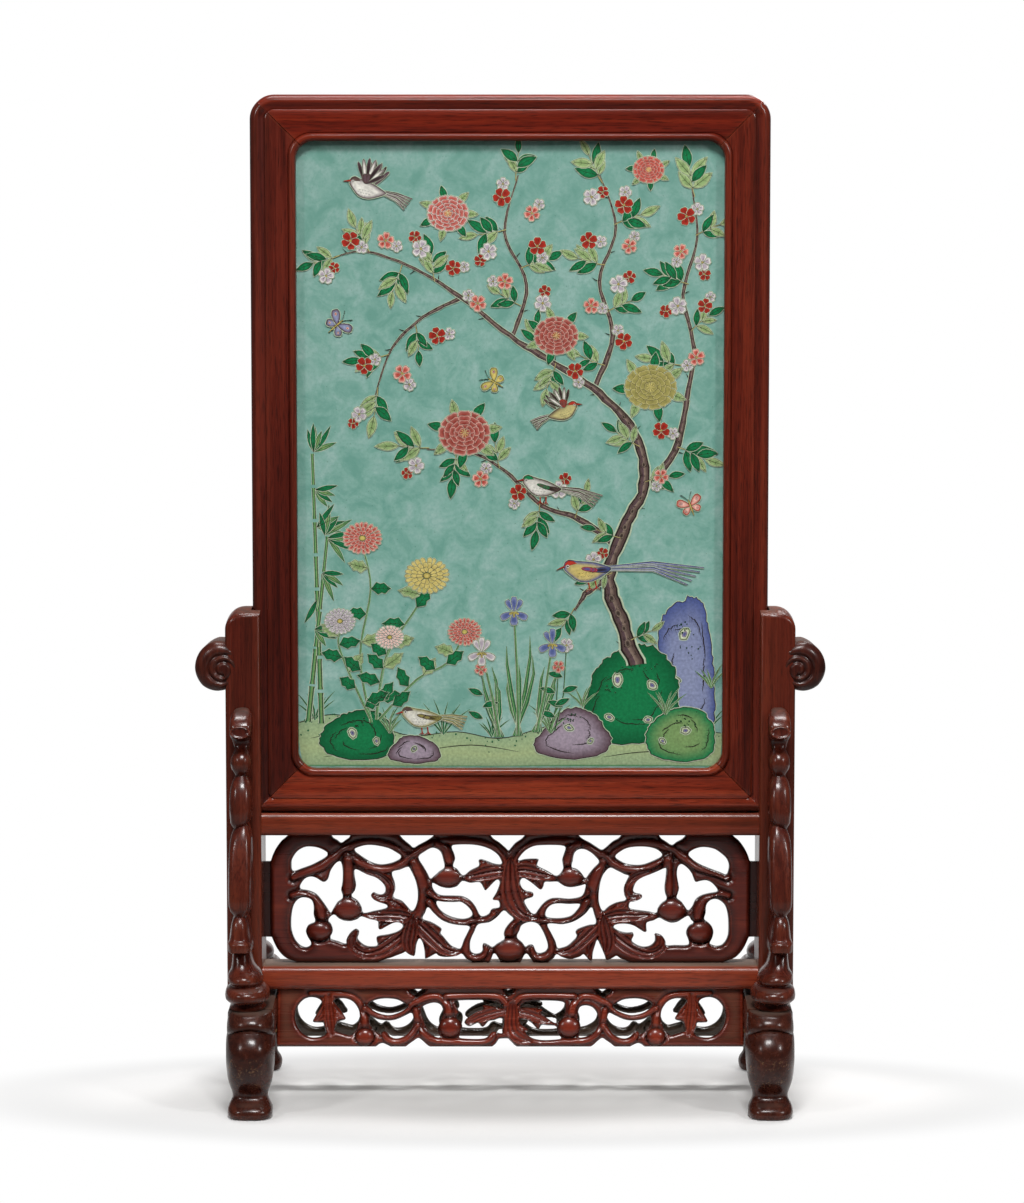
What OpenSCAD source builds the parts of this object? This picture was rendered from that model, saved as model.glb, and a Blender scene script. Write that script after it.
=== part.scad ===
// Table screen: a framed porcelain plaque that lifts out of a carved hardwood stand.
// Millimetres. X runs across the front, Y runs to the back, Z is up and the floor is Z = 0.

/* [Screen frame] */
// Width of the frame over both stiles
frame_w = 384; // [360:2:410]
// Height of the frame over both rails
frame_h = 533; // [480:1:580]
// Thickness of the frame, front to back
frame_t = 28; // [26:1:32]
// Face width of each frame member
member_w = 34; // [30:1:40]
// Radius of the rounded upper corners of the frame
frame_corner_r = 16; // [10:1:20]
// Width of the rounded moulding along the outer edge
bead_w = 7; // [5:0.5:9]
// Width of the raised lip that laps the plaque
lip_w = 6; // [5:0.5:8]
// Thickness of wood in front of the plaque
lip_t = 8; // [6:0.5:8.5]
// Height of the mitre joint's tenon across the member
mitre_tenon_w = 14; // [8:1:15]

/* [Plaque and back] */
// Thickness of the porcelain plaque
plaque_t = 7; // [5:0.5:8]
// Thickness of the back board
board_t = 8; // [6:0.5:9]
// Width of the slips that hold the board in
slip_w = 12; // [9:1:16]
// Width of the dovetailed battens
batten_w = 26; // [18:1:40]
// Height of the battens' middles above and below the middle of the frame
batten_offset = 120; // [70:5:160]
// Diameter of the bamboo pins in the slips
pin_d = 2.4; // [1.6:0.2:3]

/* [Posts] */
// Height of the posts above the feet
post_h = 288; // [270:2:310]
// Width of a post, seen from the front
post_w = 26; // [24:1:32]
// Depth of a post, front to back
post_d = 46; // [44:1:54]
// Radius of the posts' long edges
post_edge_r = 3; // [1:0.5:5]
// Radius of the posts' outer shoulders
post_shoulder_r = 11; // [6:1:14]
// Depth of the groove that takes the frame
groove_d = 7; // [5:0.5:9]
// Length of the tenon that stands in the foot
post_tenon_l = 22; // [14:1:26]

/* [Rails] */
// Height of the rails
rail_h = 18; // [15:0.5:20]
// Thickness of the upper rail's lips, in front of the frame and behind it
rail_lip = 3; // [2.5:0.5:4.5]
// Depth of the groove in the upper rail that the frame stands in
seat_d = 2.5; // [1.5:0.5:4]
// Radius of the rails' long upper edges
rail_edge_r = 4.5; // [2:0.5:5]
// Height of the upper rail's top above the floor
upper_rail_z = 215; // [204:1:226]
// Height of the middle rail's top above the floor
middle_rail_z = 98.5; // [95:0.5:105]
// Length of the rails' tenons
rail_tenon_l = 13; // [8:1:16]

/* [Carved panels] */
// Thickness of the openwork waist panel
waist_t = 12; // [8:1:16]
// Height of the tabs at the waist panel's ends
tab_h = 57; // [40:1:62]
// Length of the tabs inside the posts
tab_l = 6; // [4:0.5:9]
// Thickness of the splayed aprons
apron_t = 8; // [6:0.5:9]
// Drop of the aprons below the middle rail
apron_drop = 42.5; // [37:0.5:47]
// Lean of the aprons' lower edges away from the middle, in degrees
apron_splay = 14; // [6:1:18]

/* [Volutes] */
// Height of a volute
volute_h = 43; // [36:1:50]
// Distance that a volute stands out from its post
volute_w = 23; // [16:1:28]
// Depth of a volute, front to back
volute_d = 45; // [36:1:46]
// Distance of the volutes' middles below the post tops
volute_drop = 39; // [33:1:58]

/* [Standing spandrels] */
// Height of a spandrel above the foot
spandrel_h = 218; // [200:2:230]
// Width of a spandrel's blade, seen from the front
spandrel_w = 16.8; // [14:0.2:20]
// Depth of a spandrel at its base
spandrel_d = 58; // [50:1:62]
// Width of a spandrel's lower ring
ring_w = 34.4; // [30:0.2:35]

/* [Feet] */
// Length of a foot, front to back
foot_l = 195; // [185:1:230]
// Width of a foot
foot_w = 36; // [36:1:42]
// Height of a foot
foot_h = 76; // [72:0.5:78]
// Length of each pad that meets the floor
pad_l = 37; // [30:1:44]
// Height of the arch between the pads
arch_h = 40; // [32:1:46]

/* [Dowels] */
// Diameter of the spandrels' and volutes' dowels
dowel_d = 6; // [4:0.5:8]
// Length of a dowel on each side of its joint
dowel_l = 9; // [6:0.5:10]
// Diameter of the aprons' dowels
apron_dowel_d = 4; // [3:0.5:5]

/* [Fits] */
// Clearance between the frame's faces and the sides of the grooves
slide_gap = 0.4; // [0.3:0.1:0.8]
// Clearance between the frame's edges and the floors of the grooves
edge_gap = 0.5; // [0.3:0.1:1]
// Clearance between the resting frame and the floor of the upper rail's groove
seat_gap = 0.3; // [0.3:0.1:0.6]
// Clearance around the plaque and board in the rebate
rebate_gap = 0.5; // [0.3:0.1:1]

/* [Hidden] */
$fn = 32;

hongmu = [0.32, 0.13, 0.09];
dark_hongmu = [0.22, 0.1, 0.08];
enamel = [0.45, 0.68, 0.62];
softwood = [0.62, 0.47, 0.31];
bamboo = [0.78, 0.66, 0.42];

// Places across the front, measured from the middle
post_in_x = frame_w / 2 + edge_gap - groove_d;
post_out_x = post_in_x + post_w;
post_mid_x = post_in_x + post_w / 2;
foot_in_x = post_out_x - foot_w;
foot_mid_x = post_out_x - foot_w / 2;
ring_shift = foot_mid_x - post_mid_x;
rail_d = frame_t + 2 * (slide_gap + rail_lip);

// Heights
seat_z = upper_rail_z - seat_d;
panel_z = seat_z + seat_gap;
upper_under_z = upper_rail_z - rail_h;
middle_under_z = middle_rail_z - rail_h;
waist_h = upper_under_z - middle_rail_z;
post_top_z = foot_h + post_h;
volute_z = post_top_z - volute_drop;

// Layers of the frame, counted back from its face
face_y = -frame_t / 2;
plaque_y = face_y + lip_t;
board_y = plaque_y + plaque_t;
slip_y = board_y + board_t;
back_y = frame_t / 2;
rebate_x = frame_w / 2 - member_w + lip_w;
rebate_h = frame_h - 2 * (member_w - lip_w);
rebate_z = panel_z + member_w - lip_w;
quirk = 1.2;

// How far the drawn curves of the carving are cut into straight steps
vine_steps = 3;
// Extra height of the aprons that the middle rail's underside trims off
apron_trim = 2.5;
apron_slope_h = apron_drop / cos(apron_splay) + apron_trim;
// Stretch of the openwork patterns: half of the waist panel is drawn 185.5 wide and 96 high,
// and half of an apron 175.5 wide and 42 high
waist_stretch = [post_in_x / 185.5, waist_h / 96];
apron_stretch = [(foot_in_x - 0.02) / 175.5, apron_slope_h / 42];
over = 1;

function between(a, b, c, d, t) =
    0.5 * (2 * b + (c - a) * t + (2 * a - 5 * b + 4 * c - d) * t * t
    + (3 * b - a - 3 * c + d) * t * t * t);

// A smooth open line through the points
function curve(points, steps) = let (last = len(points) - 1) [
    for (i = [0 : last - 1])
    for (s = [0 : steps - 1])
    between(points[max(i - 1, 0)], points[i], points[i + 1], points[min(i + 2, last)], s / steps),
    points[last]
];

// Sideways direction of a line of [x, z, width] points at one of them
function sideways(line, i) = let (
    a = line[max(i - 1, 0)],
    b = line[min(i + 1, len(line) - 1)],
    run = [b.x - a.x, b.y - a.y]
) [-run.y, run.x] / norm(run);

// Outline of a strip whose width follows its line
function strip(line) = concat(
    [for (i = [0 : len(line) - 1]) [line[i].x, line[i].y] + sideways(line, i) * line[i].z / 2],
    [for (i = [len(line) - 1 : -1 : 0]) [line[i].x, line[i].y] - sideways(line, i) * line[i].z / 2]
);

// An arc of radius r about the middle, from angle a to angle b
function arc(middle, r, a, b, steps) =
    [for (s = [0 : steps]) middle + r * [cos(a + (b - a) * s / steps), sin(a + (b - a) * s / steps)]];

// A rectangle with rounded corners, centred
function rounded(w, d, r) = concat(
    arc([w / 2 - r, d / 2 - r], r, 0, 90, 5),
    arc([r - w / 2, d / 2 - r], r, 90, 180, 5),
    arc([r - w / 2, r - d / 2], r, 180, 270, 5),
    arc([w / 2 - r, r - d / 2], r, 270, 360, 5)
);

// Mirror a right-hand piece to the left
module left() {
    mirror([1, 0, 0]) children();
}

// Mirror a front piece to the rear
module rear() {
    mirror([0, 1, 0]) children();
}

// Stand a front outline drawn in X and Z between two depths
module upright(y0, y1) {
    translate([0, y1, 0]) rotate([90, 0, 0]) linear_extrude(y1 - y0) children();
}

// Stand a side outline drawn in Y and Z between two places across the front
module sideways_on(x0, x1) {
    translate([x0, 0, 0]) rotate([90, 0, 90]) linear_extrude(x1 - x0) children();
}

module block(x0, x1, y0, y1, z0, z1) {
    translate([x0, y0, z0]) cube([x1 - x0, y1 - y0, z1 - z0]);
}

// One line of carved vine with rounded ends
module vine(points) {
    polygon(strip(curve(points, vine_steps)));
    for (end = [points[0], points[len(points) - 1]]) {
        translate([end.x, end.y]) circle(d = end.z, $fn = 14);
    }
}

module fruit(x, z, half_w, half_h) {
    translate([x, z]) scale([half_w, half_h]) circle(r = 1, $fn = 28);
}

// Feet: side outline and front outline of one sawn foot
foot_front = curve([
    [foot_l / 2 - 17, foot_h], [foot_l / 2 - 9, foot_h * 0.94], [foot_l / 2 - 2.5, foot_h * 0.81],
    [foot_l / 2, foot_h * 0.64], [foot_l / 2 - 2, foot_h * 0.46], [foot_l / 2 - 8, foot_h * 0.31],
    [foot_l / 2 - 11, foot_h * 0.22], [foot_l / 2 - 7, foot_h * 0.15], [foot_l / 2 - 2.5, foot_h * 0.11],
    [foot_l / 2 - 1.5, foot_h * 0.05], [foot_l / 2 - 2.5, 0]
], 3);
pad_in = foot_l / 2 - pad_l;
foot_arch = curve([
    [pad_in - 1.5, 0], [pad_in - 2.5, foot_h * 0.05], [pad_in, foot_h * 0.13], [pad_in - 1, foot_h * 0.2],
    [pad_in * 0.88, arch_h * 0.62], [pad_in * 0.67, arch_h * 0.86], [pad_in * 0.37, arch_h * 0.97],
    [0, arch_h]
], 3);
foot_side = concat(foot_front, foot_arch);
foot_half = curve([
    [0.94, 1], [0.98, 0.86], [1, 0.64], [0.96, 0.46], [0.82, 0.3],
    [0.75, 0.22], [0.84, 0.15], [0.94, 0.1], [0.95, 0.04], [0.91, 0]
], 3);

module foot() {
    difference() {
        intersection() {
            sideways_on(foot_in_x, post_out_x) polygon(concat(
                foot_side,
                [for (i = [len(foot_side) - 2 : -1 : 0]) [-foot_side[i].x, foot_side[i].y]]
            ));
            upright(-foot_l, foot_l) translate([foot_mid_x, 0]) polygon(concat(
                [for (p = foot_half) [p.x * foot_w / 2, p.y * foot_h]],
                [for (i = [len(foot_half) - 1 : -1 : 0]) let (p = foot_half[i])
                    [-p.x * foot_w / 2, p.y * foot_h]]
            ));
        }
        post_tenon();
        for (turn = [0, 1]) mirror([0, turn, 0]) apron_dowel();
    }
}

// Posts
tenon_shoulder = 5;

module post_tenon() {
    block(
        post_in_x + tenon_shoulder, post_out_x - tenon_shoulder,
        -post_d / 3, post_d / 3,
        foot_h - post_tenon_l, foot_h + over
    );
}

module post() {
    difference() {
        union() {
            intersection() {
                translate([post_mid_x, 0, foot_h]) linear_extrude(post_h)
                    polygon(rounded(post_w, post_d, post_edge_r));
                upright(-post_d, post_d) polygon(concat(
                    [[post_in_x - over, post_top_z], [post_in_x - over, 0], [post_out_x, 0]],
                    arc([post_out_x, post_top_z] - post_shoulder_r * [1, 1], post_shoulder_r, 0, 90, 8)
                ));
            }
            post_tenon();
        }
        block(
            post_in_x - over, post_in_x + groove_d,
            face_y - slide_gap, back_y + slide_gap,
            seat_z, post_top_z + over
        );
        rail_tenon(upper_rail_z);
        rail_tenon(middle_rail_z);
        waist_tab();
        for (turn = [0, 1]) mirror([0, turn, 0]) spandrel_dowel_pair();
        volute_dowel_pair();
    }
}

// Rails
module rail_tenon(top_z) {
    tenon_h = rail_h - seat_d - 2 * rail_lip;
    block(
        post_in_x - over, post_in_x + rail_tenon_l,
        -rail_d / 4, rail_d / 4,
        top_z - rail_h + rail_lip, top_z - rail_h + rail_lip + tenon_h
    );
}

module rail(top_z) {
    sideways_on(-post_in_x, post_in_x) polygon(concat(
        [[-rail_d / 2, top_z - rail_h], [rail_d / 2, top_z - rail_h]],
        arc([rail_d / 2 - rail_edge_r, top_z - rail_edge_r], rail_edge_r, 0, 90, 5),
        arc([rail_edge_r - rail_d / 2, top_z - rail_edge_r], rail_edge_r, 90, 180, 5)
    ));
    rail_tenon(top_z);
    left() rail_tenon(top_z);
}

module upper_rail() {
    difference() {
        rail(upper_rail_z);
        block(
            -post_out_x, post_out_x,
            face_y - slide_gap, back_y + slide_gap,
            seat_z, upper_rail_z + over
        );
    }
}

// Waist panel: fruiting vine in openwork, drawn for the right-hand half
module waist_half() {
    vine([
        [118, 5, 9], [135, 7.5, 15], [150, 6.5, 13], [160, 8.5, 13], [168, 15.5, 14], [171, 26, 15],
        [171.5, 42, 15.5], [171.5, 60, 15], [170.5, 74, 14.5], [165, 85, 12], [155, 90.5, 11],
        [143, 91.5, 9], [133, 89, 8]
    ]);
    vine([
        [166, 62.5, 5], [156, 66.5, 6], [146, 70.5, 7], [138, 75.5, 8], [130, 81.5, 8], [122, 86.5, 8],
        [113, 90.5, 9], [104, 92, 8], [94, 91, 8], [86, 87.5, 8], [79, 82, 7]
    ]);
    polygon([[152, 67.5], [143, 63], [138.5, 60.5], [135, 64], [133.5, 71], [130, 76], [138, 77]]);
    vine([
        [119, 82, 7], [113, 77.5, 6.5], [105, 73, 6.5], [96, 71, 6.5], [88, 71.5, 6.5], [80, 75, 7],
        [72, 80.5, 7.5], [64, 86, 8], [55, 90, 9], [44, 92, 8], [32, 92, 8], [20, 90.5, 9], [11, 86, 8],
        [4.5, 79, 7.5], [2.5, 70, 7]
    ]);
    vine([
        [116, 75, 6], [107, 69.5, 6.5], [98, 66, 7], [91, 61, 7], [89, 55, 6.5], [92, 49.5, 6],
        [97, 48.5, 5.5], [102, 51, 4]
    ]);
    vine([[121.5, 82, 7], [121, 72, 8], [120.5, 62, 9.5], [121, 52, 8], [121.5, 45, 8]]);
    fruit(121.5, 40.5, 12, 9.5);
    vine([
        [165, 51, 5], [158, 53.5, 5], [151, 52.5, 6], [145.5, 48, 8], [141.5, 41, 10], [140, 34, 10.5],
        [141, 28, 9]
    ]);
    polygon([[141, 45], [136.5, 40.5], [132, 38], [136, 33.5], [141, 32]]);
    fruit(143, 24, 9.8, 8);
    vine([
        [76, 30, 14], [84, 20, 17], [94, 13.5, 18], [104, 9, 12], [112, 8, 9], [118, 12, 7.5],
        [118.5, 18, 6], [115.5, 23, 5]
    ]);
    vine([[76, 35, 12], [84, 36.5, 11.5], [92, 36, 11], [100, 35.5, 8.5], [106, 36, 5.5], [111, 36.5, 3]]);
    vine([[92, 33, 6], [96, 29, 5], [97, 26.5, 2.5]]);
    vine([[75, 36, 9], [80, 41, 9], [86, 45, 8], [91, 47, 6]]);
    vine([[75.5, 32, 11], [75.5, 22, 11], [76, 14, 10.5], [76.5, 9, 8]]);
    polygon([
        [74, 34], [64, 33], [58, 30.5], [52, 27.5], [50.5, 25], [51, 22], [48, 18], [43, 13], [37, 10],
        [34, 8], [40, 5.5], [46, 4.5], [52, 5.5], [55, 7], [60, 4.5], [63, 4], [64, 9], [66, 15], [69, 19],
        [76, 24]
    ]);
    vine([[72, 79, 8], [70.5, 71, 8.5], [66.5, 61, 9], [64.5, 51, 8.5], [66, 42, 8], [70, 36, 8]]);
    vine([
        [61, 55, 7], [56, 49.5, 6], [48, 48, 5.5], [40, 48, 5.5], [33, 46, 6], [27.5, 41, 6], [25, 33, 6]
    ]);
    vine([
        [63, 48, 8], [58, 41.5, 7], [51, 35, 6.5], [43, 31.8, 5.5], [35, 30.5, 5.5], [26, 31, 5.5],
        [18, 33, 5], [12, 36.5, 5.5], [6, 40, 5.5]
    ]);
    vine([
        [26, 30, 6], [30, 23, 6.5], [33, 15, 7], [32.5, 8.5, 7], [27, 4, 8], [21, 4.5, 7], [18, 8.5, 6],
        [18.5, 12.5, 4.5]
    ]);
    vine([[18, 8, 6], [14, 9.5, 4], [10, 9.5, 4]]);
    vine([[49, 90, 8], [46.5, 83, 8], [45.5, 76, 8.5], [45.5, 70, 8]]);
    fruit(46.5, 64, 12.5, 8.5);
    polygon([
        [-1, 76], [6, 74.5], [12, 76], [20, 77], [23.5, 77], [23, 72.5], [28, 70], [34, 66], [35, 64],
        [34, 62.5], [28, 60.5], [22, 60.5], [20, 56.5], [18, 54.5], [15, 57.5], [12, 61], [9, 61],
        [7.5, 57], [9.5, 52], [12.5, 48], [8, 46], [7, 42], [4, 38], [-1, 34]
    ]);
}

module waist_drawn() {
    waist_half();
    mirror([1, 0]) waist_half();
    fruit(0, 9.7, 12, 9.7);
    vine([[0, 17, 8], [-0.5, 23, 7.5], [1.5, 29, 7], [3, 36, 7]]);
}

// Where the end tabs start, inside the carving
tab_x = post_in_x * 0.92;

module waist_tab() {
    block(
        tab_x, post_in_x + tab_l,
        -waist_t / 2, waist_t / 2,
        middle_rail_z + waist_h / 2 - tab_h / 2, middle_rail_z + waist_h / 2 + tab_h / 2
    );
}

module waist_panel() {
    upright(-waist_t / 2, waist_t / 2) offset(delta = 0.01) intersection() {
        translate([0, middle_rail_z]) {
            scale(waist_stretch) waist_drawn();
            for (side = [0, 1]) mirror([side, 0])
                translate([tab_x, waist_h / 2 - tab_h / 2])
                square([post_in_x + tab_l - tab_x, tab_h]);
        }
        translate([-frame_w, middle_rail_z]) square([2 * frame_w, waist_h]);
    }
}

// Aprons: the same vine on a lower board, drawn for the right-hand half
module apron_half() {
    translate([157, 0]) square([18.5, 42]);
    vine([
        [165, 40, 5], [140, 40.5, 5], [118, 38.5, 5], [111, 34, 5.5], [108, 27, 5.5], [107.5, 18, 5.5],
        [107, 10, 6]
    ]);
    vine([[165, 4.5, 9], [150, 3.8, 7.6], [140, 4.2, 8.2], [130, 5.2, 10.5], [122, 4.5, 9], [114, 3.8, 7]]);
    polygon([
        [138, 40], [140, 30], [141, 25], [146, 21], [140, 19.5], [137, 17], [136.5, 10], [136, 5], [128, 5],
        [127.5, 11], [128, 18], [124, 20], [121, 23], [126, 27], [130, 33], [131, 40]
    ]);
    fruit(107, 7, 8.5, 7);
    vine([
        [109, 29, 5], [100, 25, 4.5], [92, 22.5, 4.5], [84, 24.5, 4.5], [76, 29, 5], [67, 34, 5.5],
        [58, 37.5, 5.5], [51, 38, 5.5], [46.5, 34, 6.5], [44.5, 28, 7], [44, 21, 6]
    ]);
    vine([[110, 36, 5], [104, 38.5, 5], [94, 39.5, 5], [85, 38.5, 5], [77, 34, 5], [73, 31, 4]]);
    fruit(43.5, 14, 8.8, 8);
    vine([
        [70, 29, 5], [69, 20, 5.5], [71, 13, 5.5], [76, 6.5, 6], [83, 4, 7], [90, 5.5, 6],
        [93, 9.5, 4.5]
    ]);
    vine([[92, 6, 5], [101, 5, 5]]);
    vine([
        [69, 21, 5], [66, 13, 5.5], [60, 6.5, 6], [52, 4, 7], [40, 3.8, 7.2], [28, 3.8, 7.2], [17, 4.5, 7],
        [12, 8, 6.5], [11.5, 11, 4.5]
    ]);
    vine([[12, 8.5, 5], [0, 9, 5]]);
    vine([[50, 39, 5], [40, 39.5, 5], [25, 39.5, 5], [12, 38.5, 5.5], [5, 34, 5.5], [1.5, 29, 5]]);
    polygon([
        [-1, 33], [5, 29.5], [12, 31], [19, 31.5], [19.5, 27.5], [26, 25], [31, 21], [33, 17.5],
        [30, 16], [24, 18], [21, 15.5], [17, 18.5], [9, 20.5], [5, 21], [4.5, 12], [4, 3], [-1, 1]
    ]);
}

module apron() {
    intersection() {
        translate([0, -rail_d / 4, middle_under_z]) rotate([-apron_splay, 0, 0])
            upright(-apron_t / 2, apron_t / 2) offset(delta = 0.01)
            translate([0, apron_trim - apron_slope_h])
            scale(apron_stretch) {
                apron_half();
                mirror([1, 0]) apron_half();
            }
        block(-frame_w, frame_w, -frame_w, frame_w, 0, middle_under_z);
    }
}

module cut_apron() {
    difference() {
        apron();
        apron_dowel();
        left() apron_dowel();
    }
}

// Volutes
module volute() {
    difference() {
        upright(-volute_d / 2, volute_d / 2) polygon([
            for (s = [0 : 24]) let (a = -90 + s * 7.5)
            [post_out_x + volute_w * cos(a), volute_z + volute_h / 2 * sin(a)]
        ]);
        volute_dowel_pair();
    }
}

// Standing spandrels: [height, depth] of the side
// and [height, half width, share of the rings' shift] of the front
spandrel_side = [
    [0, 54], [2, 57], [8, 58], [13, 57], [15, 53.5], [16.5, 52.5], [19.5, 53.5], [22.5, 52], [25, 47],
    [29, 42], [34, 40.5], [38, 41], [42, 43], [44, 46], [50, 47.5], [58, 47], [65, 44.5], [67, 42],
    [80, 42.5], [95, 40],
    [110, 36], [125, 31], [132, 27], [142, 28], [152, 26.5], [162, 23], [169, 18.5], [174, 20.5], [179, 21],
    [185, 18], [190, 11], [194, 12], [196, 18], [200, 22.5], [205, 24], [210, 22], [214, 15], [216, 5]
];
spandrel_front = [
    [0, 16, 1], [2, 17, 1], [8, 17.2, 1], [13, 16.8, 1], [15, 14, 0.8], [16.5, 13.4, 0.5], [19.5, 13.8, 0.5],
    [22.5, 13, 0.5], [25, 10.5, 0.3], [29, 7.5, 0.2], [34, 6.3, 0.2], [38, 6.6, 0.1], [42, 8, 0],
    [46, 8.4, 0],
    [60, 8.4, 0], [67, 7.8, 0], [75, 8.4, 0], [122, 8.4, 0], [132, 7.6, 0], [140, 8.4, 0], [160, 8.4, 0],
    [169, 7.4, 0], [176, 8.4, 0], [184, 8.1, 0], [190, 6.8, 0], [198, 8.4, 0], [207, 8.4, 0],
    [213, 7, 0], [216, 3, 0]
];
// Depth, height, width over the rings and width of the blade as they are drawn above
side_drawing = [58, 216];
front_drawing = [34.4, 16.8];
// Height up to which the front outline belongs to the rings
ring_top = 30;

function front_half(p) = p.y * (p.x < ring_top ? ring_w / front_drawing.x : spandrel_w / front_drawing.y);

module spandrel() {
    rise = spandrel_h / side_drawing.y;
    reach = spandrel_d / side_drawing.x;
    last = len(spandrel_front) - 1;
    difference() {
        intersection() {
            sideways_on(foot_in_x, post_out_x) translate([-post_d / 2, foot_h]) polygon(concat(
                [[0, 0]],
                [for (p = spandrel_side) [-p.y * reach, p.x * rise]],
                [[0, spandrel_h]]
            ));
            upright(-foot_l, 0) translate([post_mid_x, foot_h]) polygon(concat(
                [for (p = spandrel_front) [ring_shift * p.z + front_half(p), p.x * rise]],
                [for (i = [last : -1 : 0]) let (p = spandrel_front[i])
                    [ring_shift * p.z - front_half(p), p.x * rise]]
            ));
        }
        spandrel_dowel_pair();
    }
}

// Dowels
module spandrel_dowel_pair() {
    for (share = [0.25, 0.65]) {
        translate([post_mid_x, dowel_l - post_d / 2, foot_h + spandrel_h * share])
            rotate([90, 0, 0]) cylinder(d = dowel_d, h = 2 * dowel_l);
    }
}

module volute_dowel_pair() {
    for (share = [-0.22, 0.22]) {
        translate([post_out_x - dowel_l, 0, volute_z + volute_h * share])
            rotate([0, 90, 0]) cylinder(d = dowel_d, h = 2 * dowel_l);
    }
}

module apron_dowel() {
    drop = foot_h * 0.35;
    translate([
        foot_in_x - dowel_l,
        -rail_d / 4 - (middle_under_z - foot_h + drop) * tan(apron_splay),
        foot_h - drop
    ]) rotate([0, 90, 0]) cylinder(d = apron_dowel_d, h = 2 * dowel_l);
}

module spandrel_dowels() {
    for (side = [0, 1], turn = [0, 1]) {
        mirror([side, 0, 0]) mirror([0, turn, 0]) spandrel_dowel_pair();
    }
}

module volute_dowels() {
    volute_dowel_pair();
    left() volute_dowel_pair();
}

module apron_dowels() {
    for (side = [0, 1], turn = [0, 1]) {
        mirror([side, 0, 0]) mirror([0, turn, 0]) apron_dowel();
    }
}

// Frame: moulded bars, mitred at the corners. The profile is [distance from the outer edge, depth].
flat_y = face_y + quirk;
lip_r = lip_w / 2;
bar_profile = concat(
    [[0, back_y]],
    arc([bead_w, flat_y + bead_w], bead_w, 180, 270, 6),
    [[bead_w + quirk / 2, flat_y + quirk], [bead_w + quirk, flat_y]],
    [[member_w - lip_w - quirk, flat_y], [member_w - lip_w - quirk / 2, flat_y + quirk]],
    arc([member_w - lip_r, face_y + lip_r], lip_r, 180, 360, 10),
    [[member_w, plaque_y], [member_w - lip_w, plaque_y], [member_w - lip_w, back_y]]
);

module frame_outline() {
    polygon(concat(
        [[-frame_w / 2, panel_z], [frame_w / 2, panel_z]],
        arc([frame_w / 2, panel_z + frame_h] - frame_corner_r * [1, 1], frame_corner_r, 0, 90, 8),
        arc([frame_corner_r - frame_w / 2, panel_z + frame_h - frame_corner_r], frame_corner_r, 90, 180, 8)
    ));
}

module mitre_tenon(from_edge) {
    outer_x = frame_w / 2 - bead_w;
    block(
        frame_w / 2 - member_w - over, outer_x,
        plaque_y - lip_t / 4, board_y,
        panel_z + from_edge - mitre_tenon_w / 2, panel_z + from_edge + mitre_tenon_w / 2
    );
}

module rail_tenons() {
    middle = bead_w + quirk + mitre_tenon_w / 2 + 1;
    mitre_tenon(middle);
    mitre_tenon(frame_h - middle);
}

module stile() {
    difference() {
        intersection() {
            translate([0, 0, panel_z]) linear_extrude(frame_h)
                polygon([for (p = bar_profile) [frame_w / 2 - p.x, p.y]]);
            upright(face_y, back_y) intersection() {
                frame_outline();
                polygon([
                    [frame_w / 2, panel_z], [frame_w / 2, panel_z + frame_h],
                    [frame_w / 2 - member_w, panel_z + frame_h - member_w],
                    [frame_w / 2 - member_w, panel_z + member_w]
                ]);
            }
        }
        rail_tenons();
        side_pins();
    }
}

module frame_rail(flip) {
    difference() {
        union() {
            intersection() {
                sideways_on(-frame_w / 2, frame_w / 2) polygon([
                    for (p = bar_profile) [p.y, panel_z + (flip ? frame_h - p.x : p.x)]
                ]);
                upright(face_y, back_y) intersection() {
                    frame_outline();
                    translate([0, panel_z + (flip ? frame_h : 0)]) mirror([0, flip ? 1 : 0]) polygon([
                        [-frame_w / 2, 0], [frame_w / 2, 0],
                        [frame_w / 2 - member_w, member_w], [member_w - frame_w / 2, member_w]
                    ]);
                }
            }
            intersection() {
                union() {
                    rail_tenons();
                    left() rail_tenons();
                }
                translate([-frame_w / 2, -frame_t, panel_z + (flip ? frame_h - member_w : 0)])
                    cube([frame_w, 2 * frame_t, member_w]);
            }
        }
        end_pins(flip);
    }
}

// Plaque, board and battens
module rebate_fill(y0, y1) {
    block(
        rebate_gap - rebate_x, rebate_x - rebate_gap, y0, y1,
        rebate_z + rebate_gap, rebate_z + rebate_h - rebate_gap
    );
}

dovetail_flare = 2;
batten_chamfer = 4;

module batten(up) {
    middle_z = panel_z + frame_h / 2 + (up ? batten_offset : -batten_offset);
    root_y = slip_y - board_t * 0.4;
    half = batten_w / 2;
    sideways_on(slip_w - rebate_x, rebate_x - slip_w) translate([0, middle_z]) polygon([
        [root_y, half + dovetail_flare], [root_y, -half - dovetail_flare],
        [slip_y, -half], [back_y, batten_chamfer - half],
        [back_y, half - batten_chamfer], [slip_y, half]
    ]);
}

module back_board() {
    difference() {
        rebate_fill(board_y, slip_y);
        batten(true);
        batten(false);
    }
}

// Slips: the long ones run the whole height, the short ones fit between them
module side_slip() {
    difference() {
        block(rebate_x - slip_w, rebate_x, slip_y, back_y, rebate_z, rebate_z + rebate_h);
        side_pins();
    }
}

module end_slip(flip) {
    z0 = flip ? rebate_z + rebate_h - slip_w : rebate_z;
    difference() {
        block(slip_w - rebate_x, rebate_x - slip_w, slip_y, back_y, z0, z0 + slip_w);
        end_pins(flip);
    }
}

pin_y = (slip_y + back_y) / 2;
pin_l = slip_w + (member_w - lip_w) / 2;

module side_pins() {
    for (share = [0.14, 0.5, 0.86]) {
        translate([rebate_x - slip_w, pin_y, rebate_z + rebate_h * share])
            rotate([0, 90, 0]) cylinder(d = pin_d, h = pin_l);
    }
}

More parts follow.
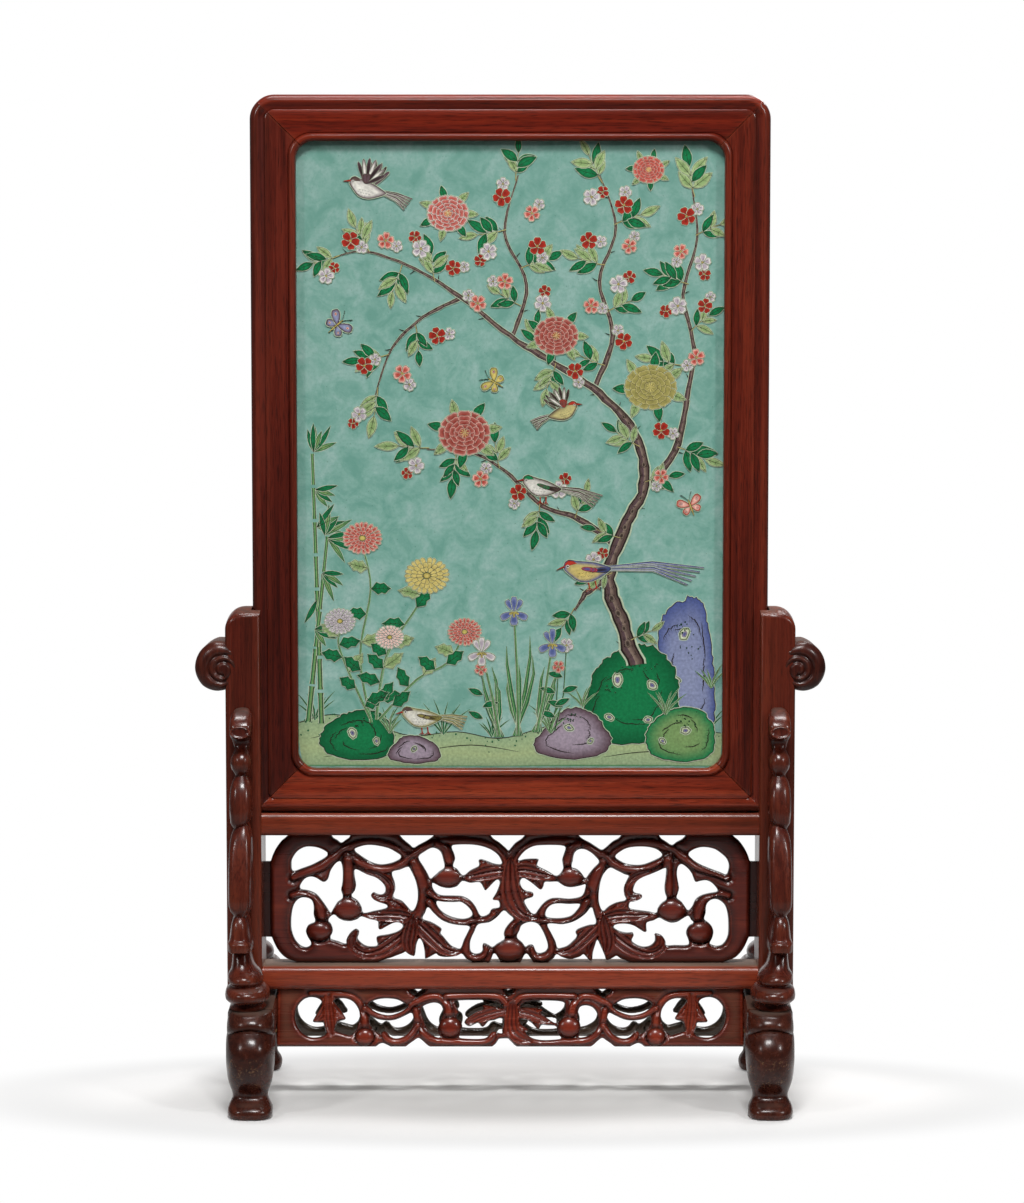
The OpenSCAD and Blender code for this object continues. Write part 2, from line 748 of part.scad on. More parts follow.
module end_pins(flip) {
    for (share = [-0.5, 0.5]) {
        translate([rebate_x * share, pin_y, flip ? rebate_z + rebate_h - slip_w : rebate_z + slip_w - pin_l])
            cylinder(d = pin_d, h = pin_l);
    }
}

module slip_pins() {
    side_pins();
    left() side_pins();
    end_pins(false);
    end_pins(true);
}

color(dark_hongmu) left() foot();  // left_foot
color(dark_hongmu) foot();  // right_foot
color(hongmu) left() post();  // left_post
color(hongmu) post();  // right_post
color(dark_hongmu) left() volute();  // left_volute
color(dark_hongmu) volute();  // right_volute
color(dark_hongmu) left() spandrel();  // front_left_spandrel
color(dark_hongmu) spandrel();  // front_right_spandrel
color(dark_hongmu) rear() left() spandrel();  // rear_left_spandrel
color(dark_hongmu) rear() spandrel();  // rear_right_spandrel
color(hongmu) upper_rail();
color(hongmu) rail(middle_rail_z);  // middle_rail
color(hongmu) waist_panel();
color(hongmu) cut_apron();  // front_apron
color(hongmu) rear() cut_apron();  // rear_apron
color(softwood) spandrel_dowels();
color(softwood) volute_dowels();
color(softwood) apron_dowels();
color(hongmu) left() stile();  // frame_left_stile
color(hongmu) stile();  // frame_right_stile
color(hongmu) frame_rail(true);  // frame_top_rail
color(hongmu) frame_rail(false);  // frame_bottom_rail
color(enamel) rebate_fill(plaque_y, board_y);  // porcelain_plaque
color(softwood) back_board();
color(hongmu) batten(true);  // upper_batten
color(hongmu) batten(false);  // lower_batten
color(hongmu) left() side_slip();  // back_slip_left
color(hongmu) side_slip();  // back_slip_right
color(hongmu) end_slip(true);  // back_slip_top
color(hongmu) end_slip(false);  // back_slip_bottom
color(bamboo) slip_pins();
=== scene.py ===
from math import atan2, copysign, cos, degrees, exp, hypot, pi, radians, sin, sqrt
import random

import bpy
import numpy as np
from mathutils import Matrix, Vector


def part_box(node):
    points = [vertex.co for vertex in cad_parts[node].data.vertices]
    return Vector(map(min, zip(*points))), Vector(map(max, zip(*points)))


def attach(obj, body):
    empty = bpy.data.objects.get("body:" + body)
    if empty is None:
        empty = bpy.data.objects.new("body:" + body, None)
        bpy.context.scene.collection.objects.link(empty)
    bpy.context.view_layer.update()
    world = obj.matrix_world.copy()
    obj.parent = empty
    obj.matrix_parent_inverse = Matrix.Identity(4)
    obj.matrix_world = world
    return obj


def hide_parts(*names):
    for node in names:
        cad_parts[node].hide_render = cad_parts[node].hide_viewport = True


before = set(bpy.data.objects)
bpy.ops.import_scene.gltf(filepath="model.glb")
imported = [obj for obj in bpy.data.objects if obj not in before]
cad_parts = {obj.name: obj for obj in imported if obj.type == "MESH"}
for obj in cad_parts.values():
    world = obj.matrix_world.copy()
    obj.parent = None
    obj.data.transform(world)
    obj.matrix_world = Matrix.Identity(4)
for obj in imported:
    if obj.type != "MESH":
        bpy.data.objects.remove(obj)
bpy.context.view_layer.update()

# Feet: two arched blocks of dark hongmu, each sawn to a pair of pads with a drum-shaped swelling above them.
# The drums are rounded over with a file, a curved crease parts them from the shoulder, and oil and handling
# have made them nearly black. They carry the posts in mortises.
MM = 0.001
sides = (("left", -1), ("right", 1))
foot_mid_x, foot_h = 193.5, 76.0


def linear(code):
    """The linear colour of an sRGB hex code."""
    parts = [int(code[i:i + 2], 16) / 255 for i in (1, 3, 5)]
    return tuple(c / 12.92 if c < 0.04045 else ((c + 0.055) / 1.055) ** 2.4 for c in parts) + (1.0,)


def blank(owner):
    """Gives a material or the world an empty tree of nodes."""
    owner.use_nodes = True
    owner.node_tree.nodes.clear()
    return owner.node_tree


def put(tree, kind, links=None, **settings):
    """Adds a shader node with its settings, and fills its sockets from values or (node, output) pairs."""
    made = tree.nodes.new("ShaderNode" + kind)
    for name, value in settings.items():
        setattr(made, name, value)
    for socket, value in (links or {}).items():
        if isinstance(value, tuple) and isinstance(value[0], bpy.types.Node):
            tree.links.new(value[0].outputs[value[1]], made.inputs[socket])
        else:
            made.inputs[socket].default_value = value
    return made


def shades(ramp, stops):
    """Sets a colour ramp's stops from (place, colour) pairs."""
    elements = ramp.color_ramp.elements
    while len(elements) < len(stops):
        elements.new(0.5)
    for element, (place, colour) in zip(elements, stops):
        element.position = place
        element.color = colour if isinstance(colour, tuple) else (colour, colour, colour, 1)


def hongmu(name, along, deep, middle, pale, rough=0.3, gloss=0.36, scuffed=False, carved=False, uneven=0.3,
           dust_and_top_sheen=0.0):
    """Hongmu, planed and rubbed with wax: dark and red bands follow the grain, short pores lie in it as
    dark dashes, the rubbed arrises are a little paler, and the wax gives a soft sheen over the wood."""
    material = bpy.data.materials.new(name)
    tree = blank(material)
    place = put(tree, "TexCoord")
    # Bands of 5 mm, slow figure of 45 mm, and pores that are really 0.2 mm wide, drawn at 0.7 mm to show
    grains = []
    for across_mm, along_mm, texture in (
            (5, 190, {"Detail": 5.0, "Roughness": 0.62, "Distortion": 0.5}), (45, 260, {"Detail": 2.0}),
            (0.7, 13, {"Detail": 2.0, "Roughness": 0.5})):
        scale = tuple(1 / (MM * (along_mm if axis == along else across_mm)) for axis in "XYZ")
        stretched = put(tree, "Mapping", {"Vector": (place, "Object"), "Scale": scale})
        grains.append(put(tree, "TexNoise", {"Vector": (stretched, "Vector"), "Scale": 1.0, **texture}))
    bands, figure, pores = grains
    mixed = put(tree, "Mix", {0: 0.38, 2: (bands, "Fac"), 3: (figure, "Fac")}, data_type="FLOAT")
    colour = put(tree, "ValToRGB", {"Fac": (mixed, 0)})
    shades(colour, [(0.34, linear(deep)), (0.5, linear(middle)), (0.67, linear(pale))])
    edges = put(tree, "NewGeometry")
    # Over the wood's own colour: dark pores, pale rubbed arrises, and a darkening to nearly black where
    # the surface turns inwards
    layers = []
    for source, stops, tone in (
            ((pores, "Fac"), [(0.52, 0.0), (0.68, 0.3 if carved else 0.6)], "#1a0806"),
            ((edges, "Pointiness"), [(0.51, 0.0), (0.62, 0.26)], "#84452c"),
            ((edges, "Pointiness"), [(0.40, 0.8), (0.49, 0.0)], "#120706")):
        mask = put(tree, "ValToRGB", {"Fac": source})
        shades(mask, stops)
        layers.append(((mask, "Color"), tone))
    if carved:
        # Painted shade is marked on the mesh: nearly black on the sawn sides and the bottoms of the cuts,
        # and darker down the rounded sides of what stands out. The inner faces of the aprons are marked as
        # left raw and holding dust, and the broad flats of their outer faces as a grey painted sheen
        for mark, tone in (("painted_shade", "#170a08"), ("raw_and_sheen", "#453d30")):
            layers.append(((put(tree, "Attribute", attribute_name=mark), "Fac"), tone))
    if scuffed:
        # Pale scuffs of a few millimetres, in a belt round the drums where they have been knocked
        spot = put(tree, "SeparateXYZ", {"Vector": (place, "Object")})
        belt = put(tree, "Math", {0: (spot, "Z"), 1: 34 * MM, 2: 11 * MM}, operation="COMPARE")
        patch, fleck = [put(tree, "TexNoise", {
            "Vector": (place, "Object"), "Scale": 1 / (size * MM), "Detail": detail, "Roughness": broken})
            for size, detail, broken in ((9, 6.0, 0.75), (1.6, 3.0, 0.7))]
        both = put(tree, "Math", {0: (patch, "Fac"), 1: (fleck, "Fac")}, operation="MULTIPLY")
        mask = put(tree, "ValToRGB", {"Fac": (both, "Value")})
        shades(mask, [(0.3, 0.0), (0.36, 0.6)])
        where = put(tree, "Math", {0: (mask, "Color"), 1: (belt, "Value")}, operation="MULTIPLY")
        layers.append(((where, "Value"), "#7d5c40"))
    dull = put(tree, "MapRange", {
        "Value": (mixed, 0), "From Min": 0.3, "From Max": 0.7,
        "To Min": rough - 0.05, "To Max": rough + 0.09})
    sheen = (dull, "Result")
    if dust_and_top_sheen:
        # Dust that was never wiped off what faces up, which dulls it too, in a grey that also stands as
        # a painted sheen of the light from above
        facing = put(tree, "SeparateXYZ", {"Vector": (edges, "Normal")})
        lying, powder = [put(tree, "MapRange", {
            "Value": (facing, "Z"), "From Min": 0.8, "From Max": whole, "To Max": most})
            for whole, most in ((0.98, dust_and_top_sheen), (0.97, 0.5))]
        layers.append(((lying, "Result"), "#71675a"))
        dusty = put(tree, "Math", {0: (dull, "Result"), 1: (powder, "Result")}, operation="ADD")
        sheen = (dusty, "Value")
    finish = (colour, "Color")
    for mask, tone in layers:
        laid = put(tree, "Mix", {0: mask, 6: finish, 7: linear(tone)}, data_type="RGBA")
        finish = (laid, 2)
    waves = put(tree, "TexNoise", {"Vector": (place, "Object"), "Scale": 1 / (16 * MM), "Detail": 1.0})
    hand = put(tree, "Bump", {"Height": (waves, "Fac"), "Strength": uneven, "Distance": 0.5 * MM})
    pitted = put(tree, "Bump", {
        "Height": (pores, "Fac"), "Normal": (hand, "Normal"), "Strength": 0.1, "Distance": 0.12 * MM})
    shader = put(tree, "BsdfPrincipled", {
        "Base Color": finish, "Roughness": sheen, "Normal": (pitted, "Normal"),
        "IOR": 1.5, "Specular IOR Level": gloss, "Coat Weight": gloss * 0.45, "Coat Roughness": 0.12})
    put(tree, "OutputMaterial", {"Surface": (shader, "BSDF")})
    return material


def smooth_line(points, steps, closed=False):
    """A smooth line through the points, of any number of coordinates, open or closed."""
    count = len(points)
    spans = count if closed else count - 1

    def at(i):
        return points[i % count] if closed else points[min(max(i, 0), count - 1)]

    line = []
    for i in range(spans):
        a, b, c, d = at(i - 1), at(i), at(i + 1), at(i + 2)
        for s in range(steps):
            t = s / steps
            line.append(tuple(
                0.5 * (2 * q + (r - p) * t
                       + (2 * p - 5 * q + 4 * r - w) * t * t + (3 * q - p - 3 * r + w) * t ** 3)
                for p, q, r, w in zip(a, b, c, d)))
    return line if closed else line + [tuple(points[-1])]


def choose(piece):
    """Makes a piece the only one selected and the active one."""
    bpy.ops.object.select_all(action="DESELECT")
    piece.select_set(True)
    bpy.context.view_layer.objects.active = piece
    return piece


def shape(name, points, faces):
    """A new piece from points in millimetres and the faces between them."""
    mesh = bpy.data.meshes.new(name)
    mesh.from_pydata([(x * MM, y * MM, z * MM) for x, y, z in points], [], faces)
    piece = bpy.data.objects.new(name, mesh)
    bpy.context.collection.objects.link(piece)
    return choose(piece)


def skin(name, shells):
    """Closes a skin over each shell, a list of rings of points in millimetres, and caps its two ends."""
    points, faces = [], []
    for rings in shells:
        first, count = len(points), len(rings[0])
        for ring in rings:
            points.extend(ring)
        for r in range(len(rings) - 1):
            for i in range(count):
                j = (i + 1) % count
                low, high = first + r * count, first + (r + 1) * count
                faces.append((low + i, low + j, high + j, high + i))
        faces.append(tuple(range(first + count - 1, first - 1, -1)))
        top = first + (len(rings) - 1) * count
        faces.append(tuple(range(top, top + count)))
    return shape(name, points, faces)


def dress(piece, material, body, slot, *nodes, angle=40):
    """Turns a piece's faces outwards, smooths them, gives it its finish and body, and hides the parts of
    the model that it stands for. The slot is not used.
    """
    choose(piece)
    bpy.ops.object.mode_set(mode="EDIT")
    bpy.ops.mesh.select_all(action="SELECT")
    bpy.ops.mesh.remove_doubles(threshold=0.000001)
    bpy.ops.mesh.normals_make_consistent(inside=False)
    bpy.ops.object.mode_set(mode="OBJECT")
    bpy.ops.object.transform_apply(location=True, rotation=True, scale=True)
    bpy.ops.object.shade_smooth_by_angle(angle=radians(angle))
    piece.data.materials.clear()
    piece.data.materials.append(material)
    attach(piece, body)
    if nodes:
        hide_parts(*nodes)
    return piece


# A drum and its pad, by height: (up, half width, front, rear), both measured from the middle of the foot
drum_levels = [
    (0, 13.7, 93.6, 62), (0.7, 15.2, 95.1, 60.8), (2.4, 16.2, 96.1, 59.8), (4.6, 16.5, 96.2, 59.5),
    (7, 16.1, 95.2, 60), (9, 15.3, 93, 61.4), (11, 14.2, 89.8, 63), (13, 13.3, 87, 64.2),
    (15, 12.9, 85.6, 65), (17, 13.1, 85.6, 65), (19.5, 13.8, 86.8, 64), (23, 15, 89.4, 62),
    (28, 16.4, 93, 57), (34, 17.2, 95.8, 51), (40, 17.7, 97.3, 46), (45, 17.8, 97.5, 43),
    (50, 17.8, 96.8, 42), (54, 17.8, 95.2, 42), (58, 17.75, 92.6, 42), (61, 17.7, 89.8, 42),
    (63.4, 17.5, 87, 42), (64.3, 17.1, 85.6, 42), (65.2, 17.3, 86.7, 42), (67, 17.4, 87.4, 42),
    (69.4, 17.3, 86.6, 42), (72.2, 16.9, 84.2, 42), (74.6, 16.3, 80.8, 42), (75.7, 15.6, 77.8, 43),
    (76, 14.6, 75, 44)]
# How square a drum's outline is, how much squarer its pad is at the floor, and how high the pad reaches
drum_spokes, drum_square, pad_square, pad_h = 44, 2.6, 0.5, 20
foot_show_x, foot_skew = 192.4, 0.03
# The crease that parts a drum from the shoulder sags at the sides
crease_z, crease_arch, crease_reach = 64.3, 5.4, 14
beam_reach, beam_half_w = 62, 17.2
# Underside of the beam between the drums: (along, up)
beam_under = [(0, 40), (14, 39.6), (26, 38.6), (36, 37), (46, 34), (54, 30), (62, 25)]


def read(table, at):
    """A value from a table of (place, value) pairs, between its places."""
    for (a, u), (b, v) in zip(table, table[1:]):
        if at <= b:
            return u + (v - u) * max(0, at - a) / (b - a)
    return table[-1][1]


def squarer(value, power):
    """A sine or cosine to a power below one, with its own sign, which makes a round outline squarer."""
    return copysign(abs(value) ** power, value)


def foot_shells(turn):
    """The two drums with their pads and the beam that joins them."""
    shells = []
    for rear in (-1, 1):
        rings = []
        for up, half_w, front, back in smooth_line(drum_levels, 2):
            ring = []
            sag = crease_arch * max(0, 1 - abs(up - crease_z) / crease_reach)
            power = 2 / (drum_square + pad_square * max(0, 1 - up / pad_h))
            for k in range(drum_spokes):
                a = 2 * pi * k / drum_spokes
                wide, out = squarer(cos(a), power), squarer(sin(a), power)
                y = rear * ((front + back) / 2 + (front - back) / 2 * out)
                ring.append((turn * (foot_show_x + foot_skew * y + half_w * wide), y, up - sag * wide ** 2))
            rings.append(ring)
        shells.append(rings)
    rings = []
    for y in range(-beam_reach, beam_reach + 1, 4):
        under = read(beam_under, abs(y))
        side = [
            (0.8, 75.7), (0.93, 75.2), (0.985, 73), (1, 66), (1, 57), (0.94, 51), (0.74, under + 5),
            (0.5, under + 1.4), (0.2, under)]
        ring = side + [(-x, z) for x, z in reversed(side)]
        rings.append([(turn * (foot_show_x + foot_skew * y + beam_half_w * x), y, z) for x, z in ring])
    return shells + [rings]


foot_wood = hongmu(
    "dark_hongmu_filed_and_waxed_y", "Y", "#240d0a", "#3a180f", "#522416", 0.25, 0.26, scuffed=True,
    uneven=0.08, dust_and_top_sheen=0.25)
for side, turn in sides:
    foot = skin(f"{side}_foot_arched", foot_shells(turn))
    dress(foot, foot_wood, "stand", "dark_hongmu", f"{side}_foot", angle=50)

# Posts: two uprights of straight-grained hongmu, planed square with softened arrises and a rounded outer
# shoulder. A groove down the inner side takes the edge of the screen, and the foot holds the lower end.
post_in_x, post_out_x, post_d, post_top_z = 185.5, 211.5, 46.0, 367.6
groove_d, groove_y, seat_z = 7.0, 14.4, 212.5
shoulder_r, arris_r = 13.5, 3.0
# The top is crowned from front to rear: how far its edges lie below its middle, and where that begins
crown_drop, crown_from_z = 4.6, 335.0
crown_strips = range(-18, 19, 6)


def cube(name, low, high):
    """A block between two corners in millimetres, as an object that sits at the origin."""
    bpy.ops.object.select_all(action="DESELECT")
    middle = [(a + b) / 2 * MM for a, b in zip(low, high)]
    size = [(b - a) * MM for a, b in zip(low, high)]
    bpy.ops.mesh.primitive_cube_add(size=1, location=middle, scale=size)
    bpy.ops.object.transform_apply(location=True, rotation=True, scale=True)
    block = bpy.context.object
    block.name = name
    return block


def round_edges(piece, chosen, radius, segments):
    """Bevels the edges whose two ends the test accepts, in millimetres."""
    choose(piece)
    bpy.ops.object.mode_set(mode="EDIT")
    bpy.ops.mesh.select_mode(type="EDGE")
    bpy.ops.mesh.select_all(action="DESELECT")
    bpy.ops.object.mode_set(mode="OBJECT")
    for edge in piece.data.edges:
        a, b = [piece.data.vertices[v].co / MM for v in edge.vertices]
        edge.select = bool(chosen(a, b))
    bpy.ops.object.mode_set(mode="EDIT")
    bpy.ops.mesh.bevel(offset=radius * MM, segments=segments, profile=0.5, clamp_overlap=True)
    bpy.ops.object.mode_set(mode="OBJECT")


def cut(piece, low, high):
    """Cuts a straight groove, given by the corners of the block it removes."""
    cutter = cube("cutter", low, high)
    choose(piece)
    groove = piece.modifiers.new("groove", "BOOLEAN")
    groove.object = cutter
    groove.operation = "DIFFERENCE"
    groove.solver = "EXACT"
    bpy.ops.object.modifier_apply(modifier="groove")
    bpy.data.objects.remove(cutter)


post_wood = hongmu("hongmu_planed_and_waxed_z", "Z", "#38110b", "#591f13", "#75301c", 0.26, 0.26, dust_and_top_sheen=0.2)
for side, turn in sides:
    inner, outer = turn * post_in_x, turn * post_out_x
    near_x, far_x = sorted((inner, outer))
    post = cube(f"{side}_post_grooved", (near_x, -post_d / 2, foot_h), (far_x, post_d / 2, post_top_z))
    round_edges(
        post, lambda a, b: max(abs(a.x - outer), abs(b.x - outer)) < 0.1 and min(a.z, b.z) > crown_from_z,
        shoulder_r, 10)
    bpy.ops.object.mode_set(mode="EDIT")
    for across in crown_strips:
        bpy.ops.mesh.select_all(action="SELECT")
        bpy.ops.mesh.bisect(plane_co=(0, across * MM, 0), plane_no=(0, 1, 0))
    bpy.ops.object.mode_set(mode="OBJECT")
    for spot in post.data.vertices:
        rise = max(0, (spot.co.z / MM - crown_from_z) / (post_top_z - crown_from_z))
        spot.co.z -= crown_drop * MM * rise * (spot.co.y / MM * 2 / post_d) ** 2
    round_edges(
        post, lambda a, b: abs(a.y - b.y) < 0.1 and abs(abs(a.y) - post_d / 2) < 0.1
        and max(a.z, b.z) > foot_h + 1, arris_r, 5)
    # The cutter starts a millimetre outside the wood
    near_x, far_x = sorted((inner - turn, inner + turn * groove_d))
    cut(post, (near_x, -groove_y, seat_z), (far_x, groove_y, post_top_z + 5))
    dress(post, post_wood, "stand", "hongmu", f"{side}_post")

# Rails: the upper rail carries the screen in a shallow seat along its top, and the middle rail closes the
# waist from below. Both are hongmu with the long upper edges rounded over, and are tenoned into the posts.
rail_h, rail_half_d = 18.0, 17.4
upper_rail_z, middle_rail_z = 215.0, 98.5
upper_rail_wood = hongmu(
    "hongmu_planed_and_waxed_x", "X", "#431309", "#6e2413", "#8c3920", 0.24, 0.28, dust_and_top_sheen=0.8)
# The middle rail is painted lighter than the upper rail, as painted light
middle_rail_wood = hongmu(
    "hongmu_planed_and_waxed_x_painted_lighter", "X", "#511910", "#86301c", "#a84a2e", 0.26, 0.32, dust_and_top_sheen=0.8)
for name, top, upper_r, lower_r, rail_wood in (
        ("upper_rail", upper_rail_z, 7.0, 2.4, upper_rail_wood),
        ("middle_rail", middle_rail_z, 6.5, 4, middle_rail_wood)):
    rail = cube(f"{name}_rounded", (-post_in_x, -rail_half_d, top - rail_h), (post_in_x, rail_half_d, top))
    round_edges(rail, lambda a, b: abs(a.x - b.x) > 100 and a.z > top - 1, upper_r, 7)
    round_edges(rail, lambda a, b: abs(a.x - b.x) > 100 and a.z < top - rail_h + 1, lower_r, 6)
    if name == "upper_rail":
        cut(rail, (-post_out_x, -groove_y, seat_z), (post_out_x, groove_y, top + 5))
    dress(rail, rail_wood, "stand", "hongmu", name)

# Waist panel: a board of hongmu between the two rails, fretsawn into a fruiting vine and carved on both
# faces. The stems are rounded, the fruits domed, the leaves dished and veined, and tabs at its ends enter
# the posts.
waist_half_w, waist_half_d, waist_h = 191.0, 6.0, 98.5
bar_out_x, bar_round, tab_half_d = 180.0, 3.6, 2.7
carving_step, joint_gap = 0.8, 0.02
# Square part of a sawn edge, as a share of the board's depth, and the two radii that round it over
wall_share, edge_r, slope_r = 0.3, 3.6, 8
# Widths of the sinking beside a stem and round a fruit, and of a cut vein
stem_sink_w, fruit_sink_w, vein_w = 3.4, 2.6, 0.75


def off_run(across, up, a, b):
    """How far along the run from a to b each point comes nearest to it, as a share, and how far off it is."""
    run_x, run_z = b[0] - a[0], b[1] - a[1]
    t = np.clip(((across - a[0]) * run_x + (up - a[1]) * run_z) / (run_x ** 2 + run_z ** 2 + 1e-9), 0, 1)
    return t, across - a[0] - t * run_x, up - a[1] - t * run_z


def outline_distance(across, up, outline):
    """Distance of each point of the drawing from a closed outline, which is positive outside it."""
    inside = np.zeros(across.shape, bool)
    nearest = np.full(across.shape, 1e9)
    for a, b in zip(outline, outline[1:] + outline[:1]):
        _, off_x, off_z = off_run(across, up, a, b)
        nearest = np.minimum(nearest, off_x ** 2 + off_z ** 2)
        level = (b[0] - a[0]) * (up - a[1]) / (b[1] - a[1] or 1e-9) + a[0]
        inside ^= ((a[1] > up) != (b[1] > up)) & (across < level)
    return np.sqrt(nearest) * np.where(inside, -1, 1)


def beside(across, up, route):
    """How far each point lies to the side of an (across, up, width) route in half widths, and that half."""
    nearest = np.full(across.shape, 1e9)
    side, half = np.full(across.shape, 9.0), np.ones(across.shape)
    line = smooth_line(route, 4)
    for a, b in zip(line, line[1:]):
        t, off_x, off_z = off_run(across, up, a, b)
        away = np.hypot(off_x, off_z)
        wide = np.maximum((a[2] + (b[2] - a[2]) * t) / 2, 0.3)
        closer = away < nearest
        nearest = np.where(closer, away, nearest)
        left = (b[0] - a[0]) * off_z - (b[1] - a[1]) * off_x
        side = np.where(closer, np.copysign(away, left) / wide, side)
        half = np.where(closer, wide, half)
    return side, half


def rounded(wood, radius):
    """Share of its height that a quarter round of this radius has reached, by the distance from the edge."""
    return np.sqrt(1 - (1 - np.clip(wood / radius, 0, 1)) ** 2)


def carve(name, half_w, height, half_d, place, holes, falls, stems, lobes, fruits, finish=None, raw_and_sheen=0.0):
    """A board sawn through at the holes and carved alike on both faces. The sawn edges stay square in the
    middle of the board and are rounded over to its faces; falls are the heights that a hole's upper and lower
    edge lie below its drawing, because the drawing sees the board from a little above."""
    columns, rows = round(2 * half_w / carving_step) + 1, round(height / carving_step) + 1
    across, up = np.meshgrid(
        np.linspace(-half_w, half_w, columns), np.linspace(0, height, rows), indexing="ij")
    wood = np.minimum(np.minimum(across + half_w, half_w - across), np.minimum(up, height - up))
    for hole in holes:
        outline = smooth_line(hole, 3, closed=True)
        for fall in falls:
            wood = np.minimum(wood, outline_distance(across, up + fall, outline))
    wall = wall_share * half_d
    edge = wall + (half_d - wall) * (0.74 * rounded(wood, edge_r) + 0.26 * rounded(wood, slope_r))
    deep = edge * 0.97
    # Painted shade: how much darker the sawn edges, the rounded sides, the veins and the grooves round
    # what stands out are painted
    dark = np.clip(1.35 - (edge - wall) / (0.8 * (half_d - wall)), 0, 0.92)
    flat = np.clip((wood - 2.5) / 4, 0, 1)
    for route in stems:
        # A stem that passes in front of the others: they sink where it crosses them
        side, half = beside(across, up, route)
        within = np.abs(side) < 1
        near = np.clip(1 - (np.abs(side) - 1) * half / stem_sink_w, 0, 1)
        own = wall + (1.08 * half_d - wall) * np.sqrt(np.clip(1 - side ** 2, 0, 1))
        deep = np.maximum(deep - 0.34 * half_d * near, np.where(within, np.minimum(own, edge * 1.08), 0))
        # Painted shade down the stem's rounded sides, and in the sinking beside it
        shaded = np.maximum(0.7 * dark, 0.85 * np.abs(side) ** 2.4)
        dark = np.where(within, shaded, np.maximum(dark, 0.8 * near))
        flat = flat * (1 - near)
    for share, route in lobes:
        # A leaf's lobe: hollow between raised rims, with three cut veins that run together at the tip
        side, half = beside(across, up, route)
        within, broad = np.abs(side) < 1, np.clip(half / 4, 0, 1)
        veins = sum(np.exp(-((side - at) * half / vein_w) ** 2) for at in (-0.56, 0, 0.56))
        dish = half_d * (share + 0.04 - 0.3 * (1 - side ** 2) ** 2) - 0.2 * half_d * veins * broad
        rim = wall + (half_d - wall) * rounded(wood, 2.2)
        deep = np.where(within, np.minimum(dish, rim), deep)
        # Painted shade in the cut veins and along the lobe's sawn edge
        lines = np.maximum(0.6 * veins * broad, 0.9 * np.clip(1 - wood / 1.3, 0, 1))
        dark = np.where(within, np.clip(np.maximum(lines, 0.4 * side ** 8), 0, 0.9), dark)
        flat = np.where(within, 0, flat)
    for x, z, wide, high in fruits:
        rho = np.hypot((across - x) / wide, (up - z) / high)
        near = np.clip(1 - (rho - 1) * high / fruit_sink_w, 0, 1)
        dome = 0.4 * wall + (1.32 * half_d - 0.4 * wall) * np.sqrt(np.clip(1 - rho ** 2, 0, 1)) ** 0.9
        deep = np.where(rho < 1, np.maximum(dome, wall), deep - 0.4 * half_d * near)
        # Painted shade towards a fruit's rim and in the sinking round it
        dark = np.where(rho < 1, 0.92 * np.minimum(rho, 1) ** 2.6, np.maximum(dark, 0.85 * near))
        flat = np.where(near > 0, 0, flat)
    # Painted shade along the edges of the broad flats
    dark = np.maximum(dark, 0.74 * np.clip(1.3 - wood / 6.5, 0, 1) * (flat > 0))
    deep = np.maximum(deep, wall)
    if finish:
        deep, dark = finish(across, deep, dark)
    # The points nearest to a sawn edge move onto it, so that the edge runs smooth
    on = np.zeros(wood.shape, bool)
    for a, b in (
            (np.s_[:-1, :], np.s_[1:, :]), (np.s_[:, :-1], np.s_[:, 1:]), (np.s_[:-1, :-1], np.s_[1:, 1:])):
        crossing = (wood[a] > 0) != (wood[b] > 0)
        first = np.abs(wood[a]) < np.abs(wood[b])
        on[a] |= crossing & first
        on[b] |= crossing & ~first
    slope_x, slope_z = np.gradient(wood, carving_step)
    steep = np.maximum(slope_x ** 2 + slope_z ** 2, 0.3)
    reach = 0.6 * carving_step
    x = across - np.where(on, np.clip(wood * slope_x / steep, -reach, reach), 0)
    z = np.clip(up - np.where(on, np.clip(wood * slope_z / steep, -reach, reach), 0), 0, height)
    deep = np.where(on, np.minimum(deep, wall * 1.05), deep)
    kept = (wood > 0) | on
    number = np.arange(wood.size).reshape(wood.shape)
    faces = []
    for corners in (((0, 0), (1, 0), (1, 1)), ((0, 0), (1, 1), (0, 1))):
        parts = [np.s_[i:columns - 1 + i, j:rows - 1 + j] for i, j in corners]
        whole = kept[parts[0]] & kept[parts[1]] & kept[parts[2]]
        rim = on[parts[0]] & on[parts[1]] & on[parts[2]]
        whole &= ~rim | (wood[parts[0]] + wood[parts[1]] + wood[parts[2]] > 0)
        faces.append(np.stack([number[p][whole] for p in parts], 1))
    faces = np.concatenate(faces)
    used, faces = np.unique(faces, return_inverse=True)
    faces = faces.reshape(-1, 3).tolist()
    front = [place(*p) for p in zip(x.flat[used], -deep.flat[used], z.flat[used])]
    back = [place(*p) for p in zip(x.flat[used], deep.flat[used], z.flat[used])]
    count = len(front)
    once = {}
    for a, b, c in faces:
        for run in ((a, b), (b, c), (c, a)):
            if run[::-1] in once:
                del once[run[::-1]]
            else:
                once[run] = True
    walls = [(b, a, a + count, b + count) for a, b in once]
    backs = [(c + count, b + count, a + count) for a, b, c in faces]
    board = shape(name, front + back, faces + backs + walls)
    # Painted shade, nearly black on the sawn edges themselves
    painted_shade = np.where(on, 0.92, dark).flat[used]
    # The raw inner faces hold dust; on the outer faces the broad flats take a grey painted sheen
    marks = {"painted_shade": (painted_shade, painted_shade), "raw_and_sheen": (0.6 * raw_and_sheen * flat.flat[used], np.full(count, raw_and_sheen))}
    for mark, values in marks.items():
        layer = board.data.attributes.new(mark, "FLOAT", "POINT")
        layer.data.foreach_set("value", np.concatenate(values).astype("f"))
    return board


def waist_place(x, y, z):
    """From the drawing of the waist panel to its place between the rails."""
    return (x, y, middle_rail_z + joint_gap + z * (waist_h - 2 * joint_gap) / waist_h)


